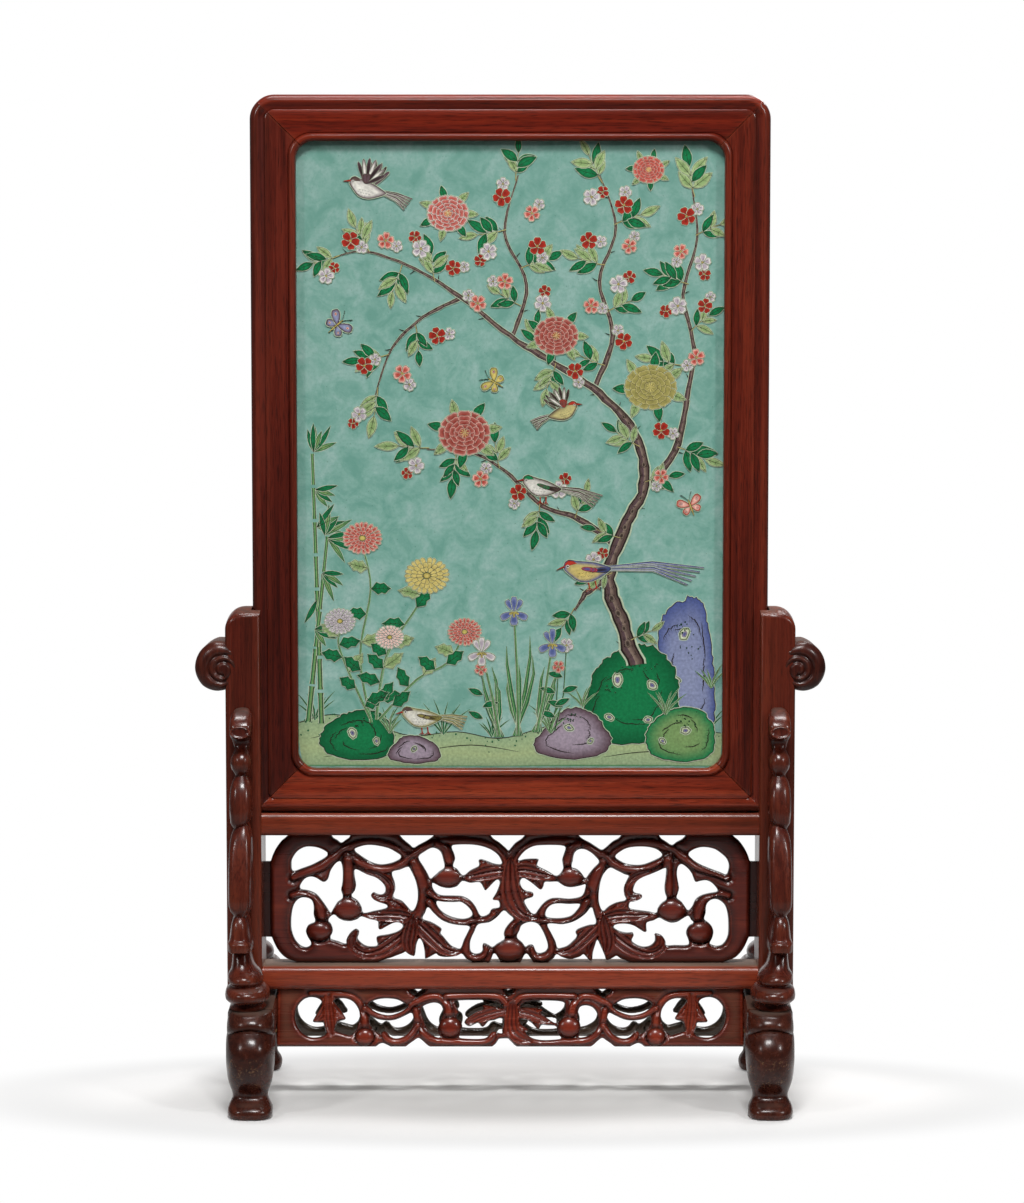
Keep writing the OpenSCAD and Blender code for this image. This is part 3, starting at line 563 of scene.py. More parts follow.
# Openings as they are seen from the front, along the board and up from the middle rail: the left half, the
# right half, then the middle
waist_holes = [
    [(-163.5, 70.5), (-164.5, 76), (-163.5, 80), (-160, 85), (-155, 88), (-150, 88.6), (-144, 87.6),
     (-139, 85.2), (-137.3, 83.2), (-139, 81), (-143, 78.5), (-150, 75), (-157, 72.5)],
    [(-158, 57), (-157, 61), (-154, 64.5), (-150, 65.8), (-146, 64.9), (-140.5, 61.7), (-137, 64),
     (-135.2, 70), (-132, 75), (-129, 77.3), (-127, 76.5), (-126, 70), (-126.3, 62), (-127.3, 56),
     (-126, 50.3), (-130, 47), (-133.5, 41.5), (-135.2, 38.6), (-137, 41), (-141, 47), (-146, 53),
     (-152, 55.7)],
    [(-155, 50), (-150, 48.5), (-148, 44), (-148, 37), (-147, 32), (-152, 29.5), (-154, 25), (-152.5, 20),
     (-150, 15.5), (-152, 13), (-155, 12.5), (-159, 14.5), (-163, 20), (-165, 28), (-164.5, 38),
     (-162.5, 45), (-159, 49)],
    [(-133, 37), (-129, 34), (-125, 32.3), (-120, 32), (-115, 33.5), (-112, 35.5), (-106, 33.5), (-100, 32),
     (-99.5, 29), (-99, 26), (-97, 25.7), (-93, 28), (-88, 30.5), (-84, 30.9), (-81, 29), (-82, 26.5),
     (-86, 24), (-92, 22.2), (-100, 20.8), (-100.7, 17.5), (-100, 14), (-103, 13), (-108, 13.3),
     (-112, 15.5), (-115, 19), (-114, 22), (-114, 25), (-116, 26.4), (-118, 25.7), (-121, 23),
     (-123.5, 18.5), (-124, 15), (-130, 17), (-135.5, 19), (-134, 23), (-133.7, 26), (-135, 30),
     (-137, 33)],
    [(-116.5, 71.5), (-108, 67.5), (-101, 65), (-96, 61), (-94, 57), (-95, 53.5), (-98, 52.5), (-101, 53.5),
     (-103, 54.3), (-105, 52), (-103, 48.5), (-98, 46), (-94, 44.8), (-92.4, 43.2), (-95, 41.7), (-103, 40),
     (-110.5, 38.5), (-112, 43), (-115, 48), (-119.5, 51.3), (-117, 55), (-116, 60), (-117, 66)],
    [(-117, 86), (-113, 88.5), (-107, 89.8), (-100, 89.3), (-92, 87.5), (-87, 85), (-82, 81.2), (-86, 78),
     (-92, 76), (-98, 75.5), (-104, 77), (-110, 80.5)],
    [(-89, 69), (-83, 71), (-77, 73.2), (-75, 71), (-71, 62), (-69.5, 52), (-71, 44), (-74, 40), (-78, 44),
     (-82, 48), (-88, 50.5), (-86.5, 56), (-87, 62)],
    [(-69, 80.6), (-64, 85), (-59, 87.6), (-55, 86.8), (-52, 84), (-50.5, 79), (-49.5, 73.3), (-53, 70.4),
     (-57, 67), (-60, 64.6), (-62, 68), (-65, 73.5)],
    [(-44, 88.8), (-40, 90), (-30, 90.1), (-22, 89), (-15, 86.5), (-10, 83), (-7.5, 79.5), (-6.6, 75.8),
     (-12, 76), (-18, 78.3), (-22, 79.4), (-24, 78.5), (-23.5, 76), (-24, 74), (-30, 71), (-35.5, 67),
     (-40, 72), (-43, 74), (-41.5, 79), (-42, 83)],
    [(-58.5, 61), (-56, 60), (-52, 58), (-46, 57), (-40, 58.5), (-36, 62.5), (-30, 61), (-23, 61.5),
     (-20, 57), (-18.2, 55.5), (-13, 61), (-9.5, 63.5), (-8, 61), (-10.5, 54), (-13.5, 48.4), (-9, 47.5),
     (-8, 44), (-9, 42.5), (-14, 41.5), (-16, 38), (-20, 36), (-23, 37), (-26, 43), (-30, 48), (-36, 51.2),
     (-44, 51.7), (-52, 52), (-56, 54), (-58.5, 58)],
    [(-55.5, 47), (-50, 46.6), (-42, 46.4), (-37, 46.5), (-32, 43), (-29, 39), (-29, 36.5), (-32, 34.6),
     (-37, 34), (-44, 35.5), (-50, 38.5), (-54, 42.5)],
    [(-66, 34), (-64, 38.5), (-62, 42.6), (-58, 38.5), (-52, 33), (-45, 30), (-38, 28.8), (-31, 28),
     (-32, 24), (-35, 18), (-37.5, 11.5), (-41, 12), (-45, 14), (-50, 20), (-52.5, 23), (-51.5, 26),
     (-55, 29), (-60, 31.8)],
    [(-5, 40), (-1, 37), (2.3, 34), (0, 31.5), (-3.5, 27), (-5, 22.5), (-4.5, 18.5), (-10, 15),
     (-13.5, 12.5), (-17, 14.5), (-20, 15.4), (-21, 13.5), (-21, 10), (-23, 8), (-27, 7.5), (-30, 10),
     (-30, 17), (-27, 24), (-24, 29.5), (-16, 31), (-10, 35)],
    [(-103, -4), (-95, 2.5), (-90, 4), (-85, 6), (-81, 7.5), (-79, 8.6), (-77, 7), (-74, 5.6), (-71.8, 6),
     (-70.7, 14), (-68.5, 18.8), (-66, 15.5), (-64.7, 10), (-64.2, 3.6), (-62, 4), (-59, 5.6), (-56, 7.2),
     (-54, 5.6), (-50, 4.6), (-45, 4.7), (-40, 5.6), (-36.6, 7.1), (-33.5, 3.5), (-28, -4)],
    [(134, 83.3), (138, 86.5), (143, 88), (148, 88), (154, 86.5), (159, 83), (162.5, 79.5), (164.3, 75),
     (164, 71), (162.5, 67.8), (158, 69.5), (150, 72.5), (142, 76), (137, 79.5)],
    [(156, 55), (154.5, 58), (151, 61.5), (147, 63), (143, 62.5), (139.5, 61.7), (138, 64), (136.5, 68),
     (134, 71.5), (130.5, 74.5), (128, 75.2), (126, 73), (125.3, 68), (126.3, 62), (127, 57), (126, 53),
     (125.3, 50), (129, 47), (131.5, 43.5), (134, 40.5), (137, 43.5), (139, 48), (142, 51), (147, 53),
     (152, 54)],
    [(146, 34), (147, 38), (147.5, 44), (150, 47.5), (154, 48.8), (158, 47.5), (161.5, 44), (163.5, 38),
     (164.3, 30), (164, 22), (162, 17), (159, 14), (155, 13.4), (151.5, 14.5), (150.2, 15.5), (152, 19),
     (153, 24), (152, 28), (149.5, 31)],
    [(134, 36), (130, 34), (126, 31.5), (121, 30.7), (116, 32.5), (112, 34.5), (108, 32.5), (103, 31),
     (102.5, 28), (102.7, 24.5), (101, 23.6), (97, 26), (93, 28.5), (88, 29.8), (82, 29.8), (78, 28.5),
     (79, 26.5), (83, 24.5), (88, 23.5), (92, 23.7), (93, 21), (91.5, 17.5), (95, 14.5), (100, 12.8),
     (105, 13.5), (108.5, 16.5), (109, 20), (108.3, 22.7), (111, 22.8), (114.5, 21), (117, 17),
     (117.5, 13.8), (124, 14), (134, 14.2), (134, 18), (132.5, 22), (133, 26), (135, 29), (138, 30.8),
     (136, 33)],
    [(116.5, 72.3), (110, 69.5), (104, 67), (99, 65), (95, 62), (93, 58), (92.7, 55), (95, 53.5), (98, 53),
     (99.5, 51), (97.5, 48.5), (93, 46.8), (90, 46.3), (90, 42), (98, 40.5), (105, 39.5), (110, 38.5),
     (111, 42), (114, 46), (117.7, 49), (116.5, 53), (116, 58), (116.7, 64), (117.2, 70)],
    [(79, 81.3), (83, 85), (88, 87.5), (95, 88.5), (103, 88.3), (110, 86.5), (114, 83), (113, 81),
     (108, 78.5), (101, 75.7), (95, 75), (88, 75.8), (83, 78)],
    [(70, 40), (67.5, 44), (66.5, 50), (67, 57), (68.5, 64), (71, 69), (75, 72.5), (80, 70.5), (86, 67.5),
     (89, 66.5), (87.5, 63), (85.5, 58), (85.7, 52), (87, 48.3), (80, 46.5), (74, 43.5)],
    [(56.5, 65), (59, 68), (63, 73), (66.7, 77), (64, 81), (60, 84.5), (55, 86.7), (50.5, 86), (48, 83),
     (47, 78), (46.2, 73.5), (50, 72), (53.5, 69)],
    [(6, 78.3), (8, 82), (12, 86), (18, 89), (26, 89.7), (34, 89.7), (39, 89.3), (41.5, 88), (40.5, 84),
     (39, 79), (39.5, 74.5), (39.5, 71.5), (35, 66.7), (28, 70.5), (21, 74), (20.5, 76), (21.5, 78.7),
     (20.5, 79.7), (15, 79.8), (10, 79.3)],
    [(35, 62), (30, 61.8), (26, 61.7), (25, 58.5), (23.5, 56), (21.5, 56.5), (18, 59.5), (14, 62.5),
     (10, 64.7), (8, 63.5), (7.5, 61), (9, 57.5), (12, 55.3), (16, 54.5), (17.5, 53), (17, 50.5),
     (14, 49.3), (10.7, 47.8), (12, 44), (15, 39.5), (17, 38), (19, 38), (21, 41), (25, 46), (30, 49.3),
     (36, 50), (44, 49.3), (52, 50.5), (55, 53), (56.3, 57), (56.5, 60), (53, 59), (46, 57.7), (41, 58.5),
     (37, 61)],
    [(26.5, 37), (27.5, 41), (31, 44.3), (36, 45.4), (44, 45), (50, 45.2), (52.5, 44.5), (50, 40.5),
     (46, 36.5), (40, 34.8), (33, 34.5), (28, 35.3)],
    [(61, 42.5), (63, 37.5), (64.5, 30.5), (60, 29.5), (55, 28), (50.5, 26), (49, 23.5), (50, 20.5),
     (47, 17), (43, 13.5), (38, 11.8), (35.5, 12), (34, 17), (31, 23), (28, 29.5), (33, 30), (39, 29.5),
     (46, 31), (52, 34), (57, 38)],
    [(10.5, 30), (15, 31.3), (20, 30.3), (23, 27), (26, 21), (28, 15), (28, 11.5), (26, 9), (22, 7.8),
     (19.5, 9), (18, 12.5), (16.5, 14.4), (13.5, 14), (11.5, 12.7), (9, 16), (5, 20), (7, 25), (8, 28)],
    [(30, -4), (33, 4), (35, 6.7), (38, 5), (42, 3.5), (46, 3), (50, 4), (53, 5.2), (55, 6.7), (57, 5),
     (59, 2.8), (61.5, 1.7), (62.3, 8), (64, 14), (65.5, 17.8), (68, 13), (71, 6), (72.5, 2.2), (77, 3.8),
     (80, 5.5), (83, 3.5), (88, 1.5), (96, -4)],
    [(-16, -4), (-14, 4), (-12.2, 7.4), (-9.5, 4.5), (-6, -4)],
    [(7, -4), (9.5, 4), (12, 7.2), (15, 4), (19, -4)],
    [(-133, 104), (-134, 97), (-130, 94), (-127, 92), (-124, 94), (-120.5, 97), (-121, 104)],
    [(-83, 104), (-82.5, 97), (-75.5, 90.5), (-72.8, 88.2), (-69.5, 90), (-58, 97), (-58, 104)],
    [(-15, 104), (-14, 96.5), (-8, 92), (-3.5, 88), (-1.3, 86), (0.5, 88), (4, 92), (10, 96.5), (11, 104)],
    [(51, 104), (52.5, 96.5), (60, 92), (66, 88), (69, 86.6), (72, 88.5), (77, 93), (82.5, 96.5),
     (83, 104)],
    [(112, 104), (112.5, 96.5), (117, 93), (121.5, 90.2), (125, 92.5), (131, 96.5), (132, 104)]]
for turn in (-1, 1):
    waist_holes.append([
        (turn * x, z) for x, z in (
            (164, 103), (168, 97), (172, 93.5), (176, 88), (178.5, 83), (180, 78.6), (181, 78), (186, 78),
            (200, 78), (200, 103))])
    waist_holes.append([
        (turn * x, z) for x, z in (
            (200, 20), (186, 20), (180.6, 20), (179.4, 19.4), (178, 16), (175.5, 11), (172, 6.5),
            (168, 3.4), (162, 1.2), (150, -3), (200, -3))])
# Stems that pass in front, left half: (along, up, width)
waist_stems = [
    [(-163, 64.5, 5), (-155, 68, 6), (-148, 70.5, 7), (-141, 73.5, 7.5), (-134, 79, 7), (-126, 84.5, 7),
     (-118, 88.8, 7), (-110, 91, 7), (-101, 91.3, 7), (-93, 89.5, 7), (-86, 86, 7), (-80, 81.5, 6),
     (-75, 77, 5)],
    [(-123, 81, 6.5), (-117, 78, 6), (-110, 74.3, 6), (-102, 71.8, 6), (-94, 70.8, 6), (-87, 71.8, 6),
     (-80, 75.5, 6.5), (-73, 80.5, 7), (-66, 86, 7), (-58, 89.8, 7), (-50, 91.8, 7), (-40, 92.3, 7),
     (-30, 92, 7), (-20, 90.3, 7), (-12, 86, 7), (-6.5, 80, 6.5), (-3.8, 74, 5.5)],
    [(-122, 78, 7.5), (-121.8, 70, 8), (-121.8, 60, 9), (-122.5, 52, 7)],
    [(-164, 51, 5), (-157, 53, 5), (-151, 52, 6), (-146.5, 47, 7.5), (-143, 40, 8.5), (-142, 33, 7)],
    [(-72.5, 76, 7), (-70, 70, 8), (-66.5, 61, 9), (-64.5, 52, 8.5), (-66.5, 43, 8), (-70, 36, 7)],
    [(-61, 53, 5.5), (-56, 50, 5.2), (-48, 49, 5.2), (-40, 48.8, 5.2), (-33, 46.5, 5.6), (-28, 42, 5.6),
     (-25.5, 35.5, 5)],
    [(-61, 46, 6), (-57, 40, 5.6), (-50, 35, 5.4), (-43, 32.2, 5.2), (-35, 31, 5.2), (-26, 31.2, 5.2),
     (-18, 33.2, 5), (-12.5, 37.5, 4.6)],
    [(-27.5, 27, 5.5), (-30, 22, 6), (-33, 14, 6.6), (-32.5, 8, 6.6), (-27, 4, 6.6), (-21, 5.5, 6),
     (-18.5, 10, 5)],
    [(-55, 90.3, 6), (-49.5, 87, 7), (-47, 81, 7.6), (-46, 74.5, 6.5)]]
# Lobes of the leaves, broad in the middle and pointed at the tip, left half: (share of the depth, route)
waist_lobes = [
    (0.93, [(-107, 69.5, 5), (-99, 66.5, 7), (-92.5, 61.5, 8), (-90, 55.5, 8), (-93, 50, 7), (-99, 50, 6.5),
            (-104.5, 52, 2)]),
    (0.88, [(-71, 31, 7), (-67, 23, 11), (-64.5, 14, 9), (-63, 8, 5), (-63, 3.8, 1.2)]),
    (0.86, [(-70, 32.5, 7), (-63, 30.5, 7), (-57, 28, 6), (-51.5, 25, 2)]),
    (0.94, [(-70, 31, 9), (-64, 25, 14), (-57, 18, 14), (-50, 11.5, 11), (-43, 8.5, 7), (-36, 8.3, 2)]),
    (0.9, [(-75, 36, 9), (-80, 41, 11), (-86, 45.5, 9), (-92, 48, 2)]),
    (0.86, [(-90, 33.5, 7), (-95, 30, 6), (-98.5, 26.3, 1.5)]),
    (0.94, [(-76, 34.5, 9), (-84, 36, 12), (-92, 36.5, 11), (-100, 36, 8), (-106, 36, 5),
            (-111, 36.8, 1.5)]),
    (0.98, [(-73, 31, 8), (-80, 23.5, 13), (-88, 16.5, 15), (-97, 10.5, 14), (-106, 7.5, 10),
            (-113, 8.5, 9), (-118, 13, 8), (-118.5, 19, 6.5), (-116.5, 24, 4)]),
    (1.0, [(-73, 37, 1.5), (-73.8, 31, 7.5), (-75, 24, 11.5), (-76.5, 16, 11), (-75.5, 9, 7),
           (-74, 5.5, 1.5)])]


def rightwards(route):
    """The same route on the right half, which was drawn a little nearer to the middle there."""
    return [(-x - 3.5 * min(1, -x / 40, max(0, (150 + x) / 25)), z, w) for x, z, w in route]


waist_stems += [rightwards(route) for route in waist_stems]
waist_lobes += [(share, rightwards(route)) for share, route in waist_lobes]
waist_stems.append([(-0.5, 19, 7.5), (-1.5, 25, 8), (1, 30, 7.5), (6, 33.5, 6)])
# The middle leaf leans to the right
waist_lobes += [
    (0.9, [(-9, 73, 6), (-17, 75.3, 7), (-24.5, 78.5, 1.5)]),
    (0.9, [(7, 74, 6), (14, 76.8, 7), (21, 79, 1.5)]),
    (0.88, [(-10, 68, 7), (-15.5, 62, 8), (-18.5, 55.8, 1.5)]),
    (0.88, [(8, 69, 7), (16, 64, 8), (23.5, 56.5, 1.5)]),
    (0.95, [(-3, 70, 8), (-10, 70, 12), (-19, 68.5, 13), (-27, 66.5, 9), (-35.5, 65, 1.5)]),
    (0.95, [(3, 70, 8), (10, 70.5, 12), (18, 69, 12), (26, 67, 9), (35, 64.5, 1.5)]),
    (0.92, [(3, 58, 8), (10, 54, 8), (17, 52.5, 1.5)]),
    (0.92, [(-2, 58, 8), (-8, 52, 8), (-13, 48.5, 1.5)]),
    (1.0, [(0, 80, 2), (0, 74, 9), (0, 66, 12.5), (0.5, 57, 16), (2.5, 48, 17), (7, 40, 14), (13, 35.5, 9),
           (20, 34, 4)])]
# (along, up, half width, half height)
waist_fruits = [
    (-122.5, 41, 12.4, 9.4), (-143.7, 24, 10.3, 8), (-47.5, 65.3, 12.2, 8.7), (-0.8, 10, 12.3, 9.5),
    (121.5, 40, 11.8, 9.2), (142.7, 23, 10.3, 8.7), (44.8, 65.2, 10.5, 8)]


def set_back_tabs(across, deep, dark):
    """The tabs at the ends lie lower than the carving, past the rounded outer side of the end bars,
    and are painted dark there as painted shade.
    """
    past = np.clip((np.abs(across) - bar_out_x + bar_round) / bar_round, 0, 1)
    shallow = np.minimum(deep, tab_half_d + (waist_half_d - tab_half_d) * np.sqrt(1 - past ** 2))
    return np.where(past > 0, shallow, deep), np.maximum(dark, 0.88 * past)


carved_wood = hongmu(
    "hongmu_carved_and_waxed_x", "X", "#50180f", "#652014", "#80311f", 0.28, 0.42, carved=True)
waist_panel = carve(
    "waist_panel_carved", waist_half_w, waist_h, waist_half_d, waist_place, waist_holes, (0.6, 1.4),
    waist_stems, waist_lobes, waist_fruits, set_back_tabs)
dress(waist_panel, carved_wood, "stand", "hongmu", "waist_panel", angle=48)

# Aprons: two lower boards of the same carving under the middle rail, one in front and one behind. They lean
# outwards at the foot, their lower edge is rounded under, and a dowel at each end holds them to the feet.
apron_half_w, apron_half_d, apron_lean = 175.4, 4.0, radians(14)
apron_drop, apron_trim = 42.5, 3.3
apron_slope_h = apron_drop / cos(apron_lean) + apron_trim
middle_under_z = middle_rail_z - rail_h


def front_place(x, y, z):
    """From the drawing of an apron to its leaning place under the front of the middle rail."""
    v = z + apron_trim - apron_slope_h
    return (
        x, -rail_half_d / 2 + y * cos(apron_lean) + v * sin(apron_lean),
        min(middle_under_z - joint_gap, middle_under_z - y * sin(apron_lean) + v * cos(apron_lean)))


def rear_place(x, y, z):
    """The same, under the rear of the middle rail."""
    along, out, up = front_place(x, y, z)
    return (along, -out, up)


# Openings of the left half, up from the lower edge, then those that differ beside the middle
apron_holes = [
    [(-161.3, 21), (-160, 16), (-158, 12.6), (-155, 9.5), (-150, 7), (-145, 6.8), (-140.5, 8),
     (-138.4, 9.6), (-139.5, 14), (-140.2, 17.6), (-143.6, 17.8), (-148, 18.4), (-146.8, 21.6),
     (-145, 24.6), (-143.2, 27.6), (-141.6, 31), (-142, 34), (-145, 36), (-150, 36.8), (-155, 35.2),
     (-159, 31), (-161, 26)],
    [(-132.5, 33.6), (-129, 35.6), (-124, 35.8), (-119, 34), (-115.5, 30.5), (-113.3, 26), (-113, 21),
     (-114, 17), (-115.5, 12.5), (-117, 10.5), (-120, 8.4), (-124, 9.4), (-129, 10.9), (-131, 12),
     (-130.3, 16), (-128.6, 18.6), (-123.6, 20.4), (-125.2, 24), (-127.6, 28)],
    [(-106.5, 31), (-103, 34), (-97, 35.6), (-90, 35.7), (-84, 34.6), (-79, 31.6), (-77, 29.8), (-81, 26.5),
     (-87, 24), (-92, 23.3), (-98, 24.5), (-103, 27)],
    [(-105, 22.6), (-100, 20.4), (-92, 19.3), (-85, 20.3), (-78, 23.5), (-74, 25), (-72.6, 20), (-73.5, 15),
     (-76.5, 10), (-81, 7), (-86, 6), (-90, 7.6), (-92.3, 10.8), (-95, 11.6), (-97.5, 9.5), (-100, 10.5),
     (-102.4, 12.6), (-104.6, 15.4), (-105.4, 19)],
    [(-101.5, -3), (-99.4, 1), (-96, 2.6), (-92.5, 1.4), (-88, -1), (-86, -3)],
    [(-80, -3), (-77.5, 0.6), (-72, 4.6), (-69, 6.4), (-66, 4.6), (-62, 1), (-59, -0.7), (-57, -3)],
    [(-76, 48), (-75.4, 41), (-72, 38), (-70, 36.4), (-68, 37.6), (-64.4, 41), (-63, 48)]]
apron_holes += [[(-x, z) for x, z in hole] for hole in apron_holes]
apron_holes += [
    [(-66, 29.5), (-62, 31.7), (-57, 32.7), (-53, 31.6), (-51, 29), (-50.3, 25), (-51.5, 21), (-54, 15),
     (-54, 11), (-52.5, 7), (-55.5, 7), (-60, 10), (-63, 14.5), (-65, 20), (-66.8, 26)],
    [(-41.5, 33.6), (-36, 34.4), (-28, 34.6), (-20, 34.6), (-14, 34), (-9, 32.4), (-5.6, 29.6), (-6, 28.2),
     (-13, 30), (-20, 30.9), (-21, 30.2), (-20.4, 27.6), (-25, 26), (-30, 23), (-33, 20.5), (-34.4, 17.6),
     (-31, 15), (-27, 16.5), (-24, 17.5), (-21, 14.5), (-18, 17), (-16, 19), (-12, 19.6), (-8, 21),
     (-5.2, 20), (-5.4, 16), (-6.2, 12), (-6, 9.8), (-9, 10.2), (-12, 11.4), (-15, 10.2), (-16.4, 8),
     (-19, 6.2), (-25, 5.6), (-35, 6), (-38.4, 7), (-37, 10), (-36, 15), (-37, 18.5), (-40.5, 21.6),
     (-38.5, 25), (-40, 29.5)],
    [(51, 26), (52.5, 29.5), (57, 30.6), (62, 29), (65, 25), (66, 20), (65.5, 15), (63.5, 11.5), (60, 9),
     (56, 7.2), (51.5, 6.8), (52, 10), (52.8, 14), (52, 18), (50.5, 21.5)],
    [(7.5, 28.5), (9, 31.5), (14, 33.6), (20, 34.2), (30, 34.2), (38, 33.6), (41, 32), (41.3, 28),
     (40.8, 24), (39, 21), (36, 18.5), (33.5, 17.5), (29, 20.2), (25, 23.2), (23, 25), (24.6, 26.5),
     (22.5, 28.4), (16, 29), (10, 29)],
    [(8, 20.4), (13, 19.3), (16, 17.5), (18, 15.5), (20.5, 13), (22, 13.6), (23.5, 16), (28, 15.7),
     (33, 15.5), (35, 14), (35, 11), (36.5, 8.5), (38.2, 6), (32, 5), (24, 4.8), (18, 5.8), (14.5, 7.5),
     (12, 10), (13.5, 12.5), (12, 14), (9, 16), (7.5, 18.5)],
    [(-15, -3), (-11, 2), (-9, 5), (-7.8, 5.8), (-2, 6), (-0.5, 4.8), (3, 1.3), (7, -3)],
    [(-5, 48), (-4, 40.4), (-1.5, 37.8), (2, 40.4), (3, 48)]]
apron_stems = [
    [(-109.2, 13, 5), (-109.3, 20, 5.4), (-110.3, 26, 5.4), (-113, 31.5, 5.4), (-118, 36, 5.4),
     (-125, 38.4, 5), (-135, 39.2, 5), (-150, 39.6, 4)],
    [(-109, 28, 4.6), (-103, 24.5, 4.6), (-96, 22, 4.6), (-90, 21.4, 4.6), (-84, 23.4, 4.8), (-77, 28, 5),
     (-70, 33, 5.2), (-62, 36.5, 5.4), (-54.5, 37, 5.6), (-49.5, 34, 6.2), (-46.6, 28, 6.6),
     (-45.6, 21, 6)],
    [(-71, 27, 4.6), (-69.5, 18, 5), (-67, 12, 5), (-62, 6.5, 5), (-55, 4, 5.4), (-40, 3.4, 5.4),
     (-22, 3.4, 5.4), (-15.5, 5.2, 5.4), (-12.8, 9, 4.8)],
    [(-69.6, 15, 4.8), (-73.5, 9.5, 5), (-79, 4.8, 5), (-86, 3.2, 5), (-92, 5, 4.8), (-95, 9, 3.6)],
    [(-48, 37, 5), (-40, 37.4, 5), (-12, 37.4, 5), (-5, 34, 5), (-1.4, 29, 4.6)]]
apron_lobes = [
    (0.92, [(-137, 36, 5), (-139.4, 29.5, 8.6), (-143, 23, 9), (-147.6, 18.8, 1.8)]),
    (0.92, [(-135, 36, 5), (-132, 30, 8.6), (-128, 24.6, 8.4), (-124, 20.6, 1.8)]),
    (1.0, [(-136, 38, 5), (-136, 29, 8), (-135.2, 21, 9.5), (-134.4, 14.6, 8.5), (-134, 9, 5)]),
    (0.9, [(-6, 28.5, 5), (-13, 28.8, 4), (-20.6, 30.6, 1.5)]),
    (0.88, [(-9, 25, 7), (-16, 20, 7), (-21, 15, 1.5)]),
    (0.95, [(-3, 27, 7), (-12, 25, 9), (-22, 22, 9), (-29, 19, 7), (-34, 16.6, 1.5)]),
    (0.9, [(7, 27.5, 5), (15, 27.6, 4), (24, 27, 1.5)]),
    (0.88, [(9, 24, 7), (16, 18.5, 7), (21, 13.4, 1.5)]),
    (0.95, [(4, 26, 7), (13, 24, 9), (22, 20.6, 8), (34, 16.6, 1.5)])]
apron_stems += [[(-x, z, w) for x, z, w in route] for route in apron_stems]
apron_lobes += [(share, [(-x, z, w) for x, z, w in route]) for share, route in apron_lobes[:3]]
apron_lobes.append(
    (1.0, [(1.5, 31, 7), (1.4, 24, 9.5), (1, 17, 11), (2.5, 10.5, 12), (8, 6, 10), (15, 3.6, 4)]))
apron_fruits = [(-109, 7.2, 7.4, 6.8), (109, 7.2, 7.4, 6.8), (-45, 14.2, 8.5, 8), (44, 14.2, 8.6, 8)]
# The aprons are painted lighter and redder than the waist panel, as painted light
apron_wood = hongmu(
    "hongmu_apron_carved_and_waxed_x_painted_lighter", "X", "#661f12", "#86301c", "#a04327", 0.26, 0.42, carved=True)
for name, place in (("front_apron", front_place), ("rear_apron", rear_place)):
    apron = carve(
        f"{name}_carved", apron_half_w, apron_slope_h, apron_half_d, place, apron_holes, (0.0,),
        apron_stems, apron_lobes, apron_fruits, raw_and_sheen=0.85)
    dress(apron, apron_wood, "stand", "hongmu", name, angle=48)

# Volutes: a roll of dark hongmu on the outer side of each post, dowelled to it. Its ends are carved with a
# spiral that winds in from a small tail to a flat eye, and the roll runs the full depth of the post.
volute_x, volute_z, volute_half_d = 213.5, 322.2, 22.6
# Radius of the roll, by the angle from its outer side round over the top
volute_reach = [
    (0, 20.8), (40, 21.4), (75, 21.6), (110, 19.2), (140, 15.4), (180, 12.8), (220, 13.2), (250, 15),
    (280, 16.8), (320, 19.6), (360, 20.8)]
# Radius of the groove, by the angle from its tail, which lies under the roll, in towards the eye
volute_groove = [
    (-40, 19), (0, 15.6), (80, 12.4), (160, 10.8), (250, 10.2), (340, 9.2), (430, 7.4), (520, 5.8),
    (600, 5.0), (720, 4.4), (800, 4.4)]
volute_tail = 250
# Width and depth of the groove, and the radius and drop of the rounded rim
spiral_w, spiral_d, end_r, end_drop = 1.5, 1.9, 8.5, 8.2


def volute_face(r, angle, reach):
    """How far the carved end of a roll stands out: bands with a groove between them and a rounded rim."""
    wound = (volute_tail - angle) % 360
    away = min(abs(r - read(volute_groove, wound + extra)) for extra in (0, 360))
    if wound > 330:
        away = min(away, abs(r - read(volute_groove, wound - 360)))
    band = 1 - exp(-(away / spiral_w) ** 2)
    rim = max(0.0, 1 - (reach - r) / end_r)
    return spiral_d * band - end_drop * (1 - sqrt(max(0.0, 1 - rim ** 2)))


def volute_rings(turn):
    """Rings of a roll: out over its front end, along it, and in over its rear end."""
    spokes = 96
    shares = [0.02] + [k / 26 for k in range(2, 23)] + [0.88, 0.91, 0.94, 0.965, 0.985, 1.0]

    def ring(share, face):
        points = []
        for k in range(spokes):
            angle = 360 * k / spokes
            reach = read(volute_reach, angle)
            r = reach * share
            points.append((
                turn * (volute_x + r * cos(radians(angle))),
                face * (volute_half_d + volute_face(r, angle, reach)),
                volute_z + r * sin(radians(angle))))
        return points

    rings = [ring(s, -1) for s in shares]
    for depth in (-12, 0, 12):
        rings.append([(x, depth, z) for x, _, z in ring(1.0, 1)])
    rings.extend(ring(s, 1) for s in reversed(shares))
    return rings


roll_wood = hongmu(
    "dark_hongmu_carved_and_waxed_z", "Z", "#240d09", "#3c160f", "#562517", 0.3, 0.22, uneven=0.12,
    dust_and_top_sheen=0.15)
for side, turn in sides:
    roll = skin(f"{side}_volute_scroll", [volute_rings(turn)])
    dress(roll, roll_wood, "stand", "dark_hongmu", f"{side}_volute", angle=50)

# Standing spandrels: four scrolled brackets of dark hongmu that brace the posts in front and behind. Each
# rises from two turned-looking rings through a waisted neck and swelling leaves to a ball and a curled tip.
post_mid_x, post_face_y = 198.5, 23.0
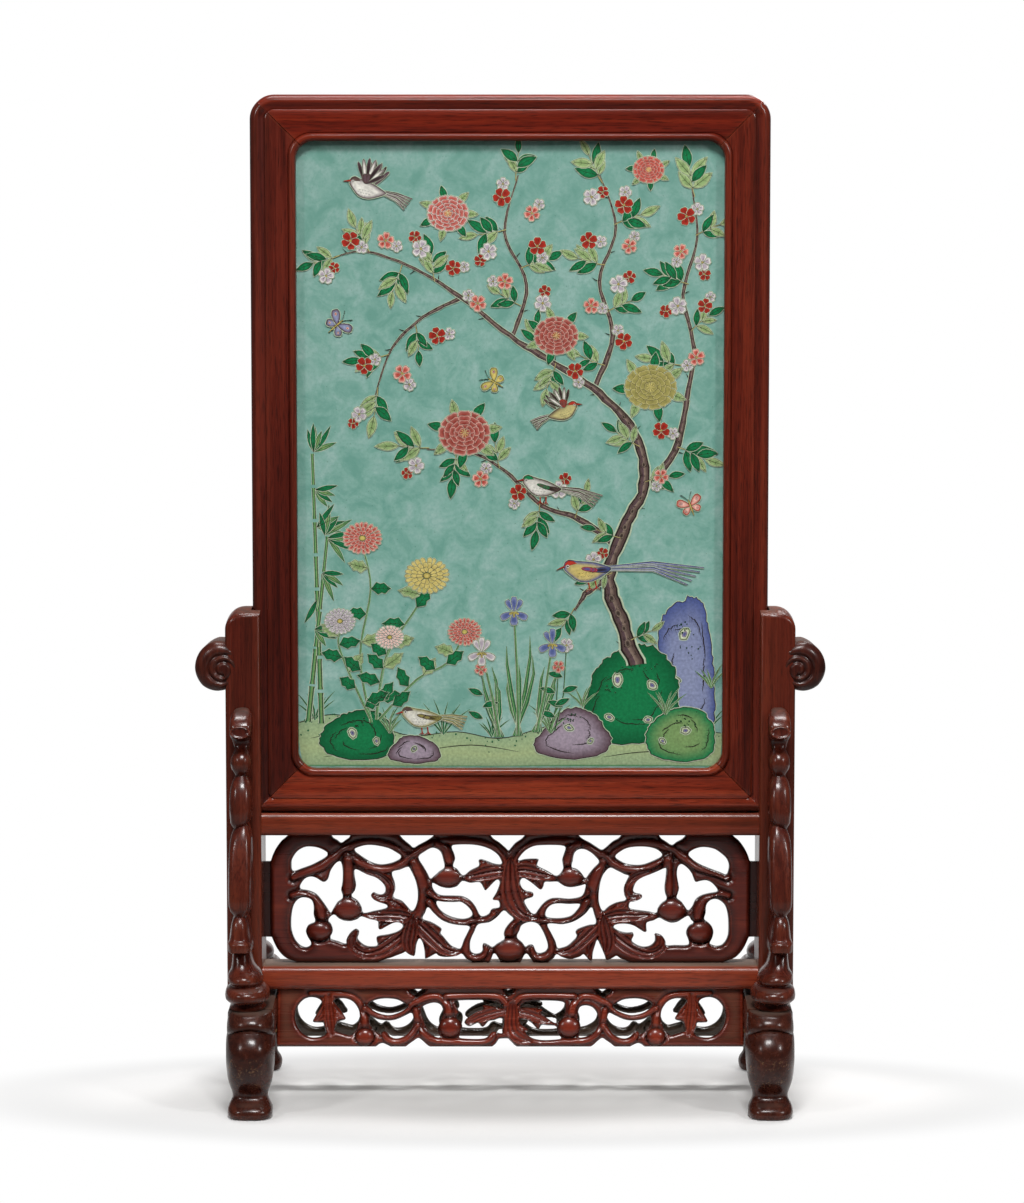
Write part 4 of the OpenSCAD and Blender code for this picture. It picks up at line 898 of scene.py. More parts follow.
# (up from the foot, half width, depth from the post, shift of the rings towards the foot, squareness)
spandrel_levels = [
    (0.0, 13.4, 51, 1, 0.85), (1.6, 12.2, 48, 1, 0.85), (3.6, 11.9, 47.4, 1, 0.85),
    (4.8, 12.8, 50, 1, 0.85), (5.5, 14.6, 54, 1, 0.85), (7.4, 16.1, 57.2, 1, 0.85), (10, 16.4, 58, 1, 0.85),
    (12.6, 16.1, 57.4, 1, 0.85), (14.6, 14.9, 55, 0.9, 0.85), (15.8, 13.2, 52, 0.9, 0.85),
    (16.6, 12, 50, 0.85, 0.85), (17.5, 11.7, 49.4, 0.8, 0.85), (18.4, 12.1, 50.2, 0.75, 0.85),
    (19.4, 12.8, 51.6, 0.7, 0.85), (21, 13.1, 52.4, 0.65, 0.85), (23, 12.8, 51.8, 0.6, 0.85),
    (24.8, 12, 50.2, 0.55, 0.85), (26.2, 10.8, 48, 0.5, 0.8), (27.6, 9.6, 46, 0.4, 0.8),
    (29.2, 8.7, 44.2, 0.3, 0.75), (31.4, 7.9, 42.6, 0.2, 0.7), (35, 7.2, 40.4, 0.15, 0.65),
    (38.4, 6.8, 38.6, 0.1, 0.6), (41.2, 6.4, 37, 0.1, 0.55), (41.9, 8.2, 46, 0, 0.5),
    (42.8, 8.7, 48.6, 0, 0.5), (47.6, 8.7, 49.2, 0, 0.5), (49.2, 8.6, 48.6, 0, 0.5),
    (50.2, 8.1, 46.4, 0, 0.52), (51.4, 7.9, 45.6, 0, 0.55), (54, 7.7, 45.4, 0, 0.6), (58, 7.2, 45, 0, 0.6),
    (63, 6.4, 43.6, 0, 0.6), (66.4, 5.3, 41, 0, 0.6), (67.8, 5.0, 39.6, 0, 0.6), (69, 5.6, 40, 0, 0.6),
    (71.4, 7.2, 42, 0, 0.5), (75, 8.2, 43.4, 0, 0.42), (80, 8.5, 43.4, 0, 0.38), (90, 8.6, 41.6, 0, 0.38),
    (102, 8.6, 38.6, 0, 0.4), (114, 8.5, 35, 0, 0.46), (122, 8.2, 32, 0, 0.55), (128, 7.3, 29, 0, 0.66),
    (131, 6.4, 26.6, 0, 0.7), (132.4, 5.8, 25.4, 0, 0.7), (133.8, 6.5, 26.4, 0, 0.7),
    (137, 8, 28.6, 0, 0.66), (144, 8.6, 28.8, 0, 0.62), (152, 8.6, 27.4, 0, 0.62), (159, 8.2, 25, 0, 0.66),
    (164.6, 7, 21.8, 0, 0.7), (168, 5.4, 18.2, 0, 0.75), (169.4, 5, 17.4, 0, 0.75),
    (170.8, 5.6, 18.4, 0, 0.8), (173.6, 7.4, 21, 0, 0.85), (178, 8.3, 22.2, 0, 0.85),
    (182.4, 7.7, 21, 0, 0.85), (186.4, 6, 17.6, 0, 0.8), (188, 5.2, 15.4, 0, 0.75), (189, 5.4, 14, 0, 0.7),
    (192, 6.4, 12.4, 0, 0.6), (195, 7.3, 13, 0, 0.55), (197, 7.9, 17, 0, 0.5), (199, 8.2, 21, 0, 0.5),
    (203, 8.4, 22.6, 0, 0.45), (207, 8.4, 21.4, 0, 0.45), (211, 8.2, 17.6, 0, 0.5),
    (214, 7.5, 13.4, 0, 0.6), (216.2, 6.2, 9.4, 0, 0.7), (217.5, 4.4, 6.4, 0, 0.8), (218, 2.6, 4.4, 0, 0.9)]
# The two leaves meet along a slope: its fall from the inner side to the outer, its height and its reach
leaf_slope, leaf_meet, leaf_reach = 0.4, 133.0, 16
# The curled tip: a rimmed oval that faces forward, (share of its half sizes, depth in front)
curl_profile = [
    (0.1, 2.0), (0.55, 2.1), (0.76, 2.3), (0.86, 2.9), (0.94, 2.8), (1.0, 2.0), (1.0, 0.6), (0.94, -1.4),
    (0.8, -3.6), (0.5, -5)]
curl_up, curl_half_w, curl_half_h, curl_out = 202.0, 7.7, 4.4, 22.4
spandrel_spokes, curl_spokes = 32, 28


def spandrel_rings(turn, rear):
    """The rings up a bracket, and those of the oval at its tip."""
    rings = []
    for up, half_w, depth, shift, square in spandrel_levels:
        mid_x = post_mid_x + (foot_mid_x - post_mid_x) * shift
        tilt = leaf_slope * max(0, 1 - abs(up - leaf_meet) / leaf_reach)
        ring = []
        for k in range(spandrel_spokes):
            a = 2 * pi * k / spandrel_spokes
            # The sides fall away towards the post
            lean = 0.55 + 0.45 * min(1, (1 + sin(a)) / 0.9)
            x = half_w * lean * squarer(cos(a), square)
            y = depth / 2 * squarer(sin(a), square)
            ring.append((turn * (mid_x + x), rear * (post_face_y + depth / 2 + y), foot_h + up - tilt * x))
        rings.append(ring)
    curl = []
    angles = [2 * pi * k / curl_spokes for k in range(curl_spokes)]
    for share, out in curl_profile:
        curl.append([(
            turn * (post_mid_x + curl_half_w * share * cos(a)),
            rear * (post_face_y + curl_out + out - 0.25 * curl_half_h * share * sin(a)),
            foot_h + curl_up + curl_half_h * share * sin(a)) for a in angles])
    return [rings, curl]


bracket_wood = hongmu(
    "dark_hongmu_modelled_and_waxed_z", "Z", "#2b0f0a", "#491910", "#662a19", 0.24, 0.28, uneven=0.08,
    dust_and_top_sheen=0.2)
for place, rear in (("front", -1), ("rear", 1)):
    for side, turn in sides:
        bracket = skin(f"{place}_{side}_spandrel_scrolled", spandrel_rings(turn, rear))
        dress(bracket, bracket_wood, "stand", "dark_hongmu", f"{place}_{side}_spandrel", angle=58)

# Screen frame: four moulded bars of hongmu, mitred and tenoned at the corners. A rounded rim runs round the
# outside and a bead laps the plaque, both carried round the corners in a curve, with a flat between them.
frame_half_w, frame_low_z, frame_top_z, frame_half_t = 192.0, 212.8, 745.8, 14.0
# (in from the outer edge, back from the face, radius of the upper and of the lower corners at that line)
bar_section = [
    (0, 28, 18, 5), (0, 18, 18, 5), (0, 9, 18, 5), (0.25, 6.4, 18, 5), (0.95, 4.1, 17.4, 5),
    (2.1, 2.1, 16.4, 5), (3.6, 0.8, 14, 5), (5.4, 0.15, 13, 5), (6.4, 0.4, 12, 5), (7.6, 1.2, 10.5, 5),
    (9.2, 2.2, 9, 5), (10.6, 2.9, 8, 5), (11.2, 3.05, 7.4, 5), (11.5, 2.2, 7, 5), (12.3, 1.8, 6.6, 5),
    (17, 2.3, 8, 7), (22.6, 2.6, 11, 10), (26.4, 2.6, 15, 14), (27.6, 2.5, 16.5, 15.5), (28.1, 2.7, 17, 16),
    (28.4, 3.1, 17.2, 16.5), (28.8, 1.9, 17, 16.4), (29.5, 0.9, 16.6, 16), (30.8, 0.3, 15.8, 15.4),
    (32.2, 0.5, 14.6, 14.4), (33.3, 1.2, 13.6, 13.6), (33.9, 2.4, 13.2, 13.2), (34, 5, 13, 13),
    (34, 8, 13, 13), (28, 8, 3, 3), (28, 28, 3, 3)]
# Along the bottom bar the rim lies nearly flat behind a fine groove, and turns under above the upper rail
bottom_back = {
    0.25: 9.5, 0.95: 6.6, 2.1: 4.4, 3.6: 2.9, 5.4: 2.1, 6.4: 1.95, 7.6: 1.95, 9.2: 2.05, 10.6: 2.2,
    11.2: 3.05, 11.5: 2.2}
# Points of the section that lie nearer to the face than this belong to the moulding
corner_steps, face_back = 7, 9
# Inside the rim the ends of the bars are eased, so that the mitre shows as a fine dark line
mitre_w, mitre_d, rim_w = 0.4, 0.7, 10.6


def bar_rings(member):
    """Rings of one bar, from mitre to mitre, each ring a cut across the moulding."""
    rings = []
    shares = [k / corner_steps for k in range(corner_steps + 1)]
    cuts = [(0, 0, mitre_d)] + [(share, mitre_w * (1 - share), 0) for share in shares]
    for end in (0, 1):
        for share, short, sunk in cuts if end == 0 else cuts[::-1]:
            ring = []
            for into, back, upper_r, lower_r in bar_section:
                if member == "bottom" and back < face_back:
                    back += share * (bottom_back.get(into, back) - back)
                if member in ("top", "bottom"):
                    r = upper_r if member == "top" else lower_r
                else:
                    r = upper_r if end == 0 else lower_r
                half_w, half_h = frame_half_w - into, (frame_top_z - frame_low_z) / 2 - into
                a = radians(45 * share)
                # From the middle of the corner's curve, at 45 degrees, to where the straight begins
                if member in ("top", "bottom"):
                    x = (half_w - r) + r * sin(radians(45) - a) - short
                    z = (half_h - r) + r * cos(radians(45) - a)
                    x = -x if end == 0 else x
                    z = z if member == "top" else -z
                else:
                    x = (half_w - r) + r * cos(radians(45) - a)
                    z = (half_h - r) + r * sin(radians(45) - a) - short
                    x = x if member == "right" else -x
                    z = z if end == 0 else -z
                eased = sunk if back < face_back and into > rim_w else 0
                ring.append((x, back + eased - frame_half_t, (frame_top_z + frame_low_z) / 2 + z))
            rings.append(ring)
    return rings


# One hongmu in four tones, as painted light and shade: the right stile lighter than the left, partly for a
# real difference in the wood, and the bottom bar lighter than the top
frame_woods = {
    "left": hongmu("hongmu_moulded_and_waxed_z_left_painted_darker", "Z", "#300e09", "#4e180f", "#662416", 0.24, 0.26),
    "right": hongmu("hongmu_moulded_and_waxed_z_right_painted_lighter", "Z", "#36100a", "#5a1c10", "#742a17", 0.24, 0.26),
    "top": hongmu("hongmu_moulded_and_waxed_x_top_painted_darker", "X", "#380e08", "#5e190d", "#782612", 0.32, 0.14),
    "bottom": hongmu("hongmu_moulded_and_waxed_x_bottom_painted_lighter", "X", "#4c160b", "#7c2a17", "#963d22", 0.24, 0.26)}
for member, node_name in (
        ("left", "frame_left_stile"), ("right", "frame_right_stile"), ("top", "frame_top_rail"),
        ("bottom", "frame_bottom_rail")):
    bar = skin(f"{node_name}_moulded", [bar_rings(member)])
    dress(bar, frame_woods[member], "screen_panel", "hongmu", node_name, angle=38)

# Plaque: a slab of porcelain that stands in the rebate behind the bead. A turquoise enamel covers its face,
# mottled where it was stippled on, with fine dark specks, under a glassy surface with a slight orange-peel.
porcelain = bpy.data.materials.new("porcelain_with_stippled_turquoise_enamel")
tree = blank(porcelain)
place = put(tree, "TexCoord")
clouds = put(tree, "TexNoise", {
    "Vector": (place, "Object"), "Scale": 1 / (18 * MM), "Detail": 6.0, "Roughness": 0.6,
    "Distortion": 0.6})
ground = put(tree, "ValToRGB", {"Fac": (clouds, "Fac")})
shades(ground, [
    (0.34, linear("#6fa495")), (0.5, linear("#89b6a9")), (0.64, linear("#9ec1b8")),
    (0.75, linear("#a6c7be"))])
# The stipple's dabs are 3 mm apart
dabs = put(tree, "TexNoise", {
    "Vector": (place, "Object"), "Scale": 1 / (3 * MM), "Detail": 3.0, "Roughness": 0.7})
dab_mask = put(tree, "ValToRGB", {"Fac": (dabs, "Fac")})
shades(dab_mask, [(0.42, 0.0), (0.7, 0.45)])
specks = put(tree, "TexVoronoi", {
    "Vector": (place, "Object"), "Scale": 1 / (5.5 * MM), "Randomness": 1.0})
speck_mask = put(tree, "ValToRGB", {"Fac": (specks, "Distance")})
shades(speck_mask, [(0.045, 0.5), (0.085, 0.0)])
# Painted shade: the turquoise is painted darker towards the top, where the lamps light it more
height = put(tree, "SeparateXYZ", {"Vector": (place, "Object")})
top_shade = put(tree, "MapRange", {
    "Value": (height, "Z"), "From Min": 300 * MM, "From Max": 700 * MM, "To Max": 0.5})
enamelled = (ground, "Color")
for mask, tone in (
        ((dab_mask, "Color"), "#67a091"), ((speck_mask, "Color"), "#3c5f52"),
        ((top_shade, "Result"), "#4d6b63")):
    laid = put(tree, "Mix", {0: mask, 6: enamelled, 7: linear(tone)}, data_type="RGBA")
    enamelled = (laid, 2)
peel = put(tree, "Bump", {"Height": (dabs, "Fac"), "Strength": 0.12, "Distance": 0.12 * MM})
glaze = put(tree, "BsdfPrincipled", {
    "Base Color": enamelled, "Roughness": 0.22, "IOR": 1.5, "Specular IOR Level": 0.4,
    "Normal": (peel, "Normal"), "Coat Weight": 0.25, "Coat Roughness": 0.08})
put(tree, "OutputMaterial", {"Surface": (glaze, "BSDF")})
plaque_low, plaque_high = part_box("porcelain_plaque")
plaque = cube("plaque_enamelled", [c / MM for c in plaque_low], [c / MM for c in plaque_high])
round_edges(plaque, lambda a, b: True, 1.2, 3)
dress(plaque, porcelain, "screen_panel", "enamelled_porcelain", "porcelain_plaque")

# Painting: enamels laid on the glaze before the last firing, in a general design of rocks, a flowering tree,
# chrysanthemums, bamboo and birds. Each patch has an ink outline, and a pale edge where the ground stops
# short of it.
glaze_y, sight_low_z = -6.0, 246.8
# How far the lowest patches stand out of the glaze, how far each next level does, and how deep all reach in
enamel_lift, enamel_step, enamel_sink = 0.02, 0.017, 0.5
paint = {name: linear(code) for name, code in (
    ("ink", "#241a18"), ("edge", "#b4c2a6"), ("emerald", "#157a48"), ("deep_green", "#0b5a34"),
    ("leaf_green", "#7f9c62"), ("pale_green", "#a5b685"), ("olive", "#8f8848"), ("pale_olive", "#c2b87c"),
    ("red", "#b03527"), ("deep_red", "#8c2318"), ("pale_red", "#e2b5a6"), ("white", "#dedcd2"),
    ("lilac", "#a698a6"), ("aubergine", "#5a444c"), ("blue", "#49568c"), ("pale_blue", "#8b93b2"),
    ("brown", "#574540"), ("pale_brown", "#8f7d6e"), ("yellow", "#cdb968"), ("bank", "#93ac84"))}
chance = random.Random(41)
sheets = {}


def lay(sheet, level, points, faces, loop):
    """Adds one closed patch: the painted faces in front, a wall round it and a back sunk in the glaze."""
    spots, patches, tints = sheets.setdefault(sheet, ([], [], []))
    start, behind = len(spots), len(spots) + len(points)
    # Patches of one level differ a little, so that none lies in the plane of another
    out = glaze_y - enamel_lift - (level + start % 89 / 100) * enamel_step
    spots.extend((u, out, sight_low_z + v) for u, v in points)
    spots.extend((points[k][0], glaze_y + enamel_sink, sight_low_z + points[k][1]) for k in loop)
    for corners, colours in faces:
        patches.append([start + c for c in corners])
        tints.extend(colours)
    last = len(loop)
    for k in range(last):
        n = (k + 1) % last
        patches.append([start + loop[n], start + loop[k], behind + k, behind + n])
        tints.extend([paint["edge"]] * 4)
    patches.append([behind + k for k in reversed(range(last))])
    tints.extend([paint["edge"]] * last)


def spread(loop, by):
    """The same closed line moved outwards, or inwards by a negative amount."""
    moved, last = [], len(loop)
    for k, (u, v) in enumerate(loop):
        a, b = loop[k - 1], loop[(k + 1) % last]
        du, dv = b[0] - a[0], b[1] - a[1]
        far = hypot(du, dv) or 1.0
        moved.append((u + dv / far * by, v - du / far * by))
    return moved


def dab(sheet, level, loop, rim, heart, line=0.34, edge=0.42, middle=None, part=0.55):
    """One patch of enamel in its ink line. It runs from the rim's colour to that of its heart."""
    area = sum(a[0] * b[1] - b[0] * a[1] for a, b in zip(loop, loop[1:] + loop[:1]))
    loop = list(loop) if area > 0 else list(reversed(loop))
    last = len(loop)
    mid = middle or (sum(p[0] for p in loop) / last, sum(p[1] for p in loop) / last)
    inner = spread(loop, -line)
    half = [(mid[0] + (u - mid[0]) * part, mid[1] + (v - mid[1]) * part) for u, v in inner]
    between = tuple(0.2 * a + 0.8 * b for a, b in zip(paint[rim], paint[heart]))
    rings, bands = [loop, inner, half], [(paint["ink"], paint["ink"]), (paint[rim], between)]
    if edge:
        rings, bands = [spread(loop, edge)] + rings, [(paint["edge"], paint["edge"])] + bands
    points, faces = [p for ring in rings for p in ring] + [mid], []
    for b, (outer, within) in enumerate(bands):
        for k in range(last):
            n = (k + 1) % last
            faces.append((
                (b * last + k, b * last + n, (b + 1) * last + n, (b + 1) * last + k),
                (outer, outer, within, within)))
    core = len(bands) * last
    for k in range(last):
        n = (k + 1) % last
        faces.append(((core + k, core + n, core + last), (between, between, paint[heart])))
    lay(sheet, level, points, faces, list(range(last)))


def ribbon(sheet, level, route, bands=((-1, 1, "ink", "ink"),)):
    """A painted line along (u, v, half width), with bands of colour across it."""
    last, rows = len(route), []
    shares = [bands[0][0]] + [band[1] for band in bands]
    for k, (u, v, w) in enumerate(route):
        a, b = route[max(k - 1, 0)], route[min(k + 1, last - 1)]
        du, dv = b[0] - a[0], b[1] - a[1]
        far = hypot(du, dv) or 1.0
        rows.append([(u + dv / far * w * s, v - du / far * w * s) for s in shares])
    wide = len(shares)
    points, faces = [p for row in rows for p in row], []
    for k in range(last - 1):
        for s, (_, _, left, right) in enumerate(bands):
            faces.append((
                (k * wide + s, k * wide + s + 1, (k + 1) * wide + s + 1, (k + 1) * wide + s),
                (paint[left], paint[right], paint[right], paint[left])))
    loop = list(range(wide)) + [k * wide + wide - 1 for k in range(1, last)]
    loop += [(last - 1) * wide + s for s in reversed(range(wide - 1))]
    loop += [k * wide for k in reversed(range(1, last - 1))]
    lay(sheet, level, points, faces, loop)


def outlined(pale, *inner):
    """Bands across a line: those within, ink from them out to its sides, and a pale edge beyond the ink."""
    left, right = inner[0][0], inner[-1][1]
    bands = [(-pale, -1, "edge", "edge"), (-1, left, "ink", "ink"), *inner]
    if right < 1:
        bands.append((right, 1, "ink", "ink"))
    return bands + [(1, pale, "edge", "edge")]


def set_down(points, u, v, turn, size=1.0):
    """Points drawn along the first axis, turned and put in place on the plaque."""
    c, s = cos(radians(turn)) * size, sin(radians(turn)) * size
    return [(u + p[0] * c - p[1] * s, v + p[0] * s + p[1] * c) + tuple(p[2:]) for p in points]


def petal(long, wide, notch=0.08, count=12, root=0.45):
    """Outline of a petal that widens from its root to a notched end."""
    points = []
    for k in range(count):
        a = 2 * pi * k / count
        x = long * (1 - cos(a)) / 2
        y = -wide / 2 * sin(a) * (root + (1 - root) * x / long)
        points.append((x - (notch * long if k == count // 2 else 0), y))
    return points


def leaf(sheet, level, u, v, turn, long, wide, rim, heart, teeth=0.0, veins=4):
    """A pointed leaf with a bent midrib and ink veins."""
    bend = chance.uniform(-0.16, 0.16) * long
    half = [(0, 0.0), (0.14, 0.52), (0.32, 0.92), (0.5, 1.0), (0.68, 0.8), (0.86, 0.4)]
    lower, upper = [[
        (x * long, side * wide / 2 * y * (1 + teeth * (-1) ** k) + bend * x * x)
        for k, (x, y) in enumerate(half)] for side in (-1, 1)]
    loop = lower + [(long, bend)] + upper[:0:-1]
    middle = set_down([(long * 0.5, bend * 0.25)], u, v, turn)[0]
    dab(sheet, level, set_down(loop, u, v, turn), rim, heart, 0.26, 0.36, middle)
    rib = [(0, 0, 0.2), (long * 0.5, bend * 0.25, 0.16), (long * 0.94, bend * 0.9, 0.08)]
    ribbon(sheet, level + 1, set_down(rib, u, v, turn))
    for k in range(veins):
        x = 0.2 + 0.6 * k / max(1, veins - 1)
        for side in (-1, 1):
            y = bend * x * x
            out = wide * 0.34 * sin(pi * (x * 0.9 + 0.06)) * side
            ribbon(sheet, level + 1, set_down(
                [(x * long, y, 0.12), ((x + 0.13) * long, y + out + bend * 0.1, 0.07)], u, v, turn))


# Leaves are painted dark or pale: (rim, heart)
dark_leaf, pale_leaf = ("deep_green", "emerald"), ("pale_green", "leaf_green")


def spray(sheet, level, u, v, turn, size, pairs):
    """A twig with leaves to left and right and one at its tip."""
    stem = [(0, 0, 0.45), (size * 0.5, size * 0.04, 0.36), (size, 0, 0.26)]
    ribbon(sheet, level, set_down(stem, u, v, turn),
           ((-1, -0.3, "ink", "ink"), (-0.3, 1, "pale_olive", "olive")))
    spots = [(0.3 + 0.6 * k / pairs, side) for k in range(pairs) for side in (-1, 1)] + [(1.0, 0)]
    for k, (x, side) in enumerate(spots):
        lean = turn + side * chance.uniform(34, 58) + chance.uniform(-8, 8)
        at = set_down([(x * size, 0)], u, v, turn)[0]
        rim, heart = (dark_leaf, pale_leaf)[(k + chance.randint(0, 1)) % 2]
        long = size * chance.uniform(0.62, 0.84)
        wide = long * chance.uniform(0.36, 0.46)
        leaf(sheet, level + 1 + (k % 3), at[0], at[1], lean, long, wide, rim, heart, 0, 3)


def blossom(sheet, level, u, v, r, rim, heart, turn=0.0):
    """An open flower of five notched petals with stamens."""
    for k in range(5):
        loop = set_down(petal(r, r), u, v, turn + 72 * k)
        dab(sheet, level, loop, rim, heart, 0.26, 0.36, set_down([(r * 0.42, 0)], u, v, turn + 72 * k)[0])
    for k in range(7):
        a = turn + 360 * k / 7 + 10
        tip = r * chance.uniform(0.44, 0.6)
        stamen = [(r * 0.1, 0, 0.1), (tip, 0, 0.09), (tip + 0.5, 0, 0.3)]
        ribbon(sheet, level + 1, set_down(stamen, u, v, a))
    button = set_down(petal(r * 0.3, r * 0.3, 0, 8, 1), u - r * 0.15, v, 0)
    dab(sheet, level + 2, button, "yellow", "olive", 0.2, 0)


def bloom(sheet, level, u, v, r, rim, heart, turn=0.0, flat=0.86):
    """A full flower of scalloped petals in rings that overlap towards the middle."""
    for ring, (count, reach) in enumerate(((13, 1.0), (11, 0.8), (9, 0.6), (7, 0.42), (5, 0.26))):
        long = r * (0.46 - 0.04 * ring)
        for k in range(count):
            a = turn + 360 * (k + 0.5 * (ring % 2)) / count + chance.uniform(-4, 4)
            wide = 2 * pi * r * reach / count * 1.32
            out = r * reach - long
            loop = [(x, y * flat) for x, y in set_down(
                [(x + out, y) for x, y in petal(long, wide, 0.1, 12, 0.6)], 0, 0, a)]
            mid = set_down([(out + long * 0.46, 0)], 0, 0, a)[0]
            dab(sheet, level + ring, [(u + x, v + y) for x, y in loop], rim, heart, 0.26,
                0.4 if ring == 0 else 0.0, (u + mid[0], v + mid[1] * flat), 0.8)
    for k in range(9):
        a = turn + 40 * k
        ribbon(sheet, level + 6, set_down([(0.3, 0, 0.12), (r * 0.16, 0, 0.26)], u, v, a), (
            (-1, 1, "yellow", "pale_olive"),))


def chrysanthemum(sheet, level, u, v, r, rim, heart, turn=0.0, flat=0.82):
    """A flower of many narrow petals in three rings round a buttoned middle."""
    for ring, (count, reach, long) in enumerate(((22, 1.0, 0.56), (17, 0.74, 0.46), (12, 0.48, 0.34))):
        for k in range(count):
            a = turn + 360 * (k + 0.5 * (ring % 2)) / count + chance.uniform(-3, 3)
            size = r * long * chance.uniform(0.92, 1.04)
            narrow = petal(size, 2.4 * pi * r * reach / count, 0, 8, 0.4)
            loop = set_down([(x + r * reach - size, y) for x, y in narrow], 0, 0, a)
            dab(sheet, level + ring, [(u + x, v + y * flat) for x, y in loop], rim, heart, 0.24,
                0.36 if ring == 0 else 0.0)
    button = set_down(petal(r * 0.36, r * 0.36, 0, 12, 1), -r * 0.18, 0, 0)
    dab(sheet, level + 4, [(u + x, v + y * flat) for x, y in button], "olive", "yellow", 0.24, 0)


def branch(sheet, level, route):
    """A gnarled limb in two browns between ink lines, with strokes for the bark, knots and broken twigs."""
    line = []
    for u, v, w in smooth_line(route, 6):
        u, v = u + chance.gauss(0, 0.14) * w, v + chance.gauss(0, 0.14) * w
        line.append((u, v, max(0.3, w * chance.uniform(0.86, 1.2))))
    ribbon(sheet, level, line, outlined(
        1.25, (-0.74, -0.1, "brown", "aubergine"), (-0.1, 0.5, "pale_brown", "brown"),
        (0.5, 0.74, "brown", "brown")))
    for k in range(2, len(line) - 2):
        u, v, w = line[k]
        ahead = degrees(atan2(line[k + 1][1] - v, line[k + 1][0] - u))
        for _ in range(2 + int(w)):
            off, long = chance.uniform(-0.65, 0.65) * w, chance.uniform(1, 3.8)
            ribbon(sheet, level + 1, set_down(
                [(0, off, 0.06), (long * 0.5, off + 0.14 * w, 0.2), (long, off, 0.06)], u, v, ahead))
        if w > 2.2 and chance.random() < 0.22:
            knot = set_down(petal(w * 1.1, w * 0.8, 0, 10, 1), u, v, ahead)
            dab(sheet, level + 1, knot, "pale_brown", "ink", 0.24, 0)
        if k % 3 == 0 and chance.random() < 0.6:
            lean = ahead + chance.choice((-1, 1)) * chance.uniform(40, 75)
            twig = [(0, 0, 0.5), (w + 1.6, 0.2, 0.36), (w + 4.4, -0.2, 0.1)]
            ribbon(sheet, level - 1, set_down(twig, u, v, lean))


def rock(sheet, level, mid, loop, rim, heart, holes=(), folds=6):
    """A weathered stone: a wash from rim to heart, folds and hatching in ink, and worn holes."""
    last = len(loop)
    eased = [[
        0.5 * p + 0.25 * (a + b) for p, a, b in zip(loop[k], loop[k - 1], loop[(k + 1) % last])]
        for k in range(last)]
    line = []
    for u, v in smooth_line(eased, 5, closed=True):
        far = 1 + chance.uniform(-0.035, 0.035)
        line.append((mid[0] + (u - mid[0]) * far, mid[1] + (v - mid[1]) * far))
    dab(sheet, level, line, rim, heart, 0.55, 0.55, mid, 0.62)
    last = len(line)
    for k in range(folds):
        at = k * last // folds + chance.randint(0, 3)
        share = chance.uniform(0.5, 0.86)
        long = chance.randint(8, 13)
        fold = []
        for n in range(long):
            u, v = line[(at + n) % last]
            near = share - 0.12 * n / long
            w = 0.08 + 0.34 * sin(pi * n / (long - 1))
            fold.append((mid[0] + (u - mid[0]) * near, mid[1] + (v - mid[1]) * near, w))
        ribbon(sheet, level + 1, fold)
        for n in range(1, long - 1):
            u, v, _ = fold[n]
            into = chance.uniform(0.05, 0.13)
            hatch = [(u, v, 0.14), (u + (mid[0] - u) * into, v + (mid[1] - v) * into, 0.05)]
            ribbon(sheet, level + 1, hatch)
    for u, v, r in holes:
        worn = [
            ((x - r) * chance.uniform(0.85, 1.15), y * chance.uniform(0.85, 1.15))
            for x, y in petal(2 * r, 1.5 * r, 0, 14, 0.9)]
        turn = chance.uniform(0, 180)
        dab(sheet, level + 2, set_down(worn, u, v, turn), "pale_green", "white", 0.5, 0.6)
        deep = [(x * 0.5, y * 0.5) for x, y in worn]
        dab(sheet, level + 3, set_down(deep, u, v, turn), "lilac", "blue", 0.3, 0)


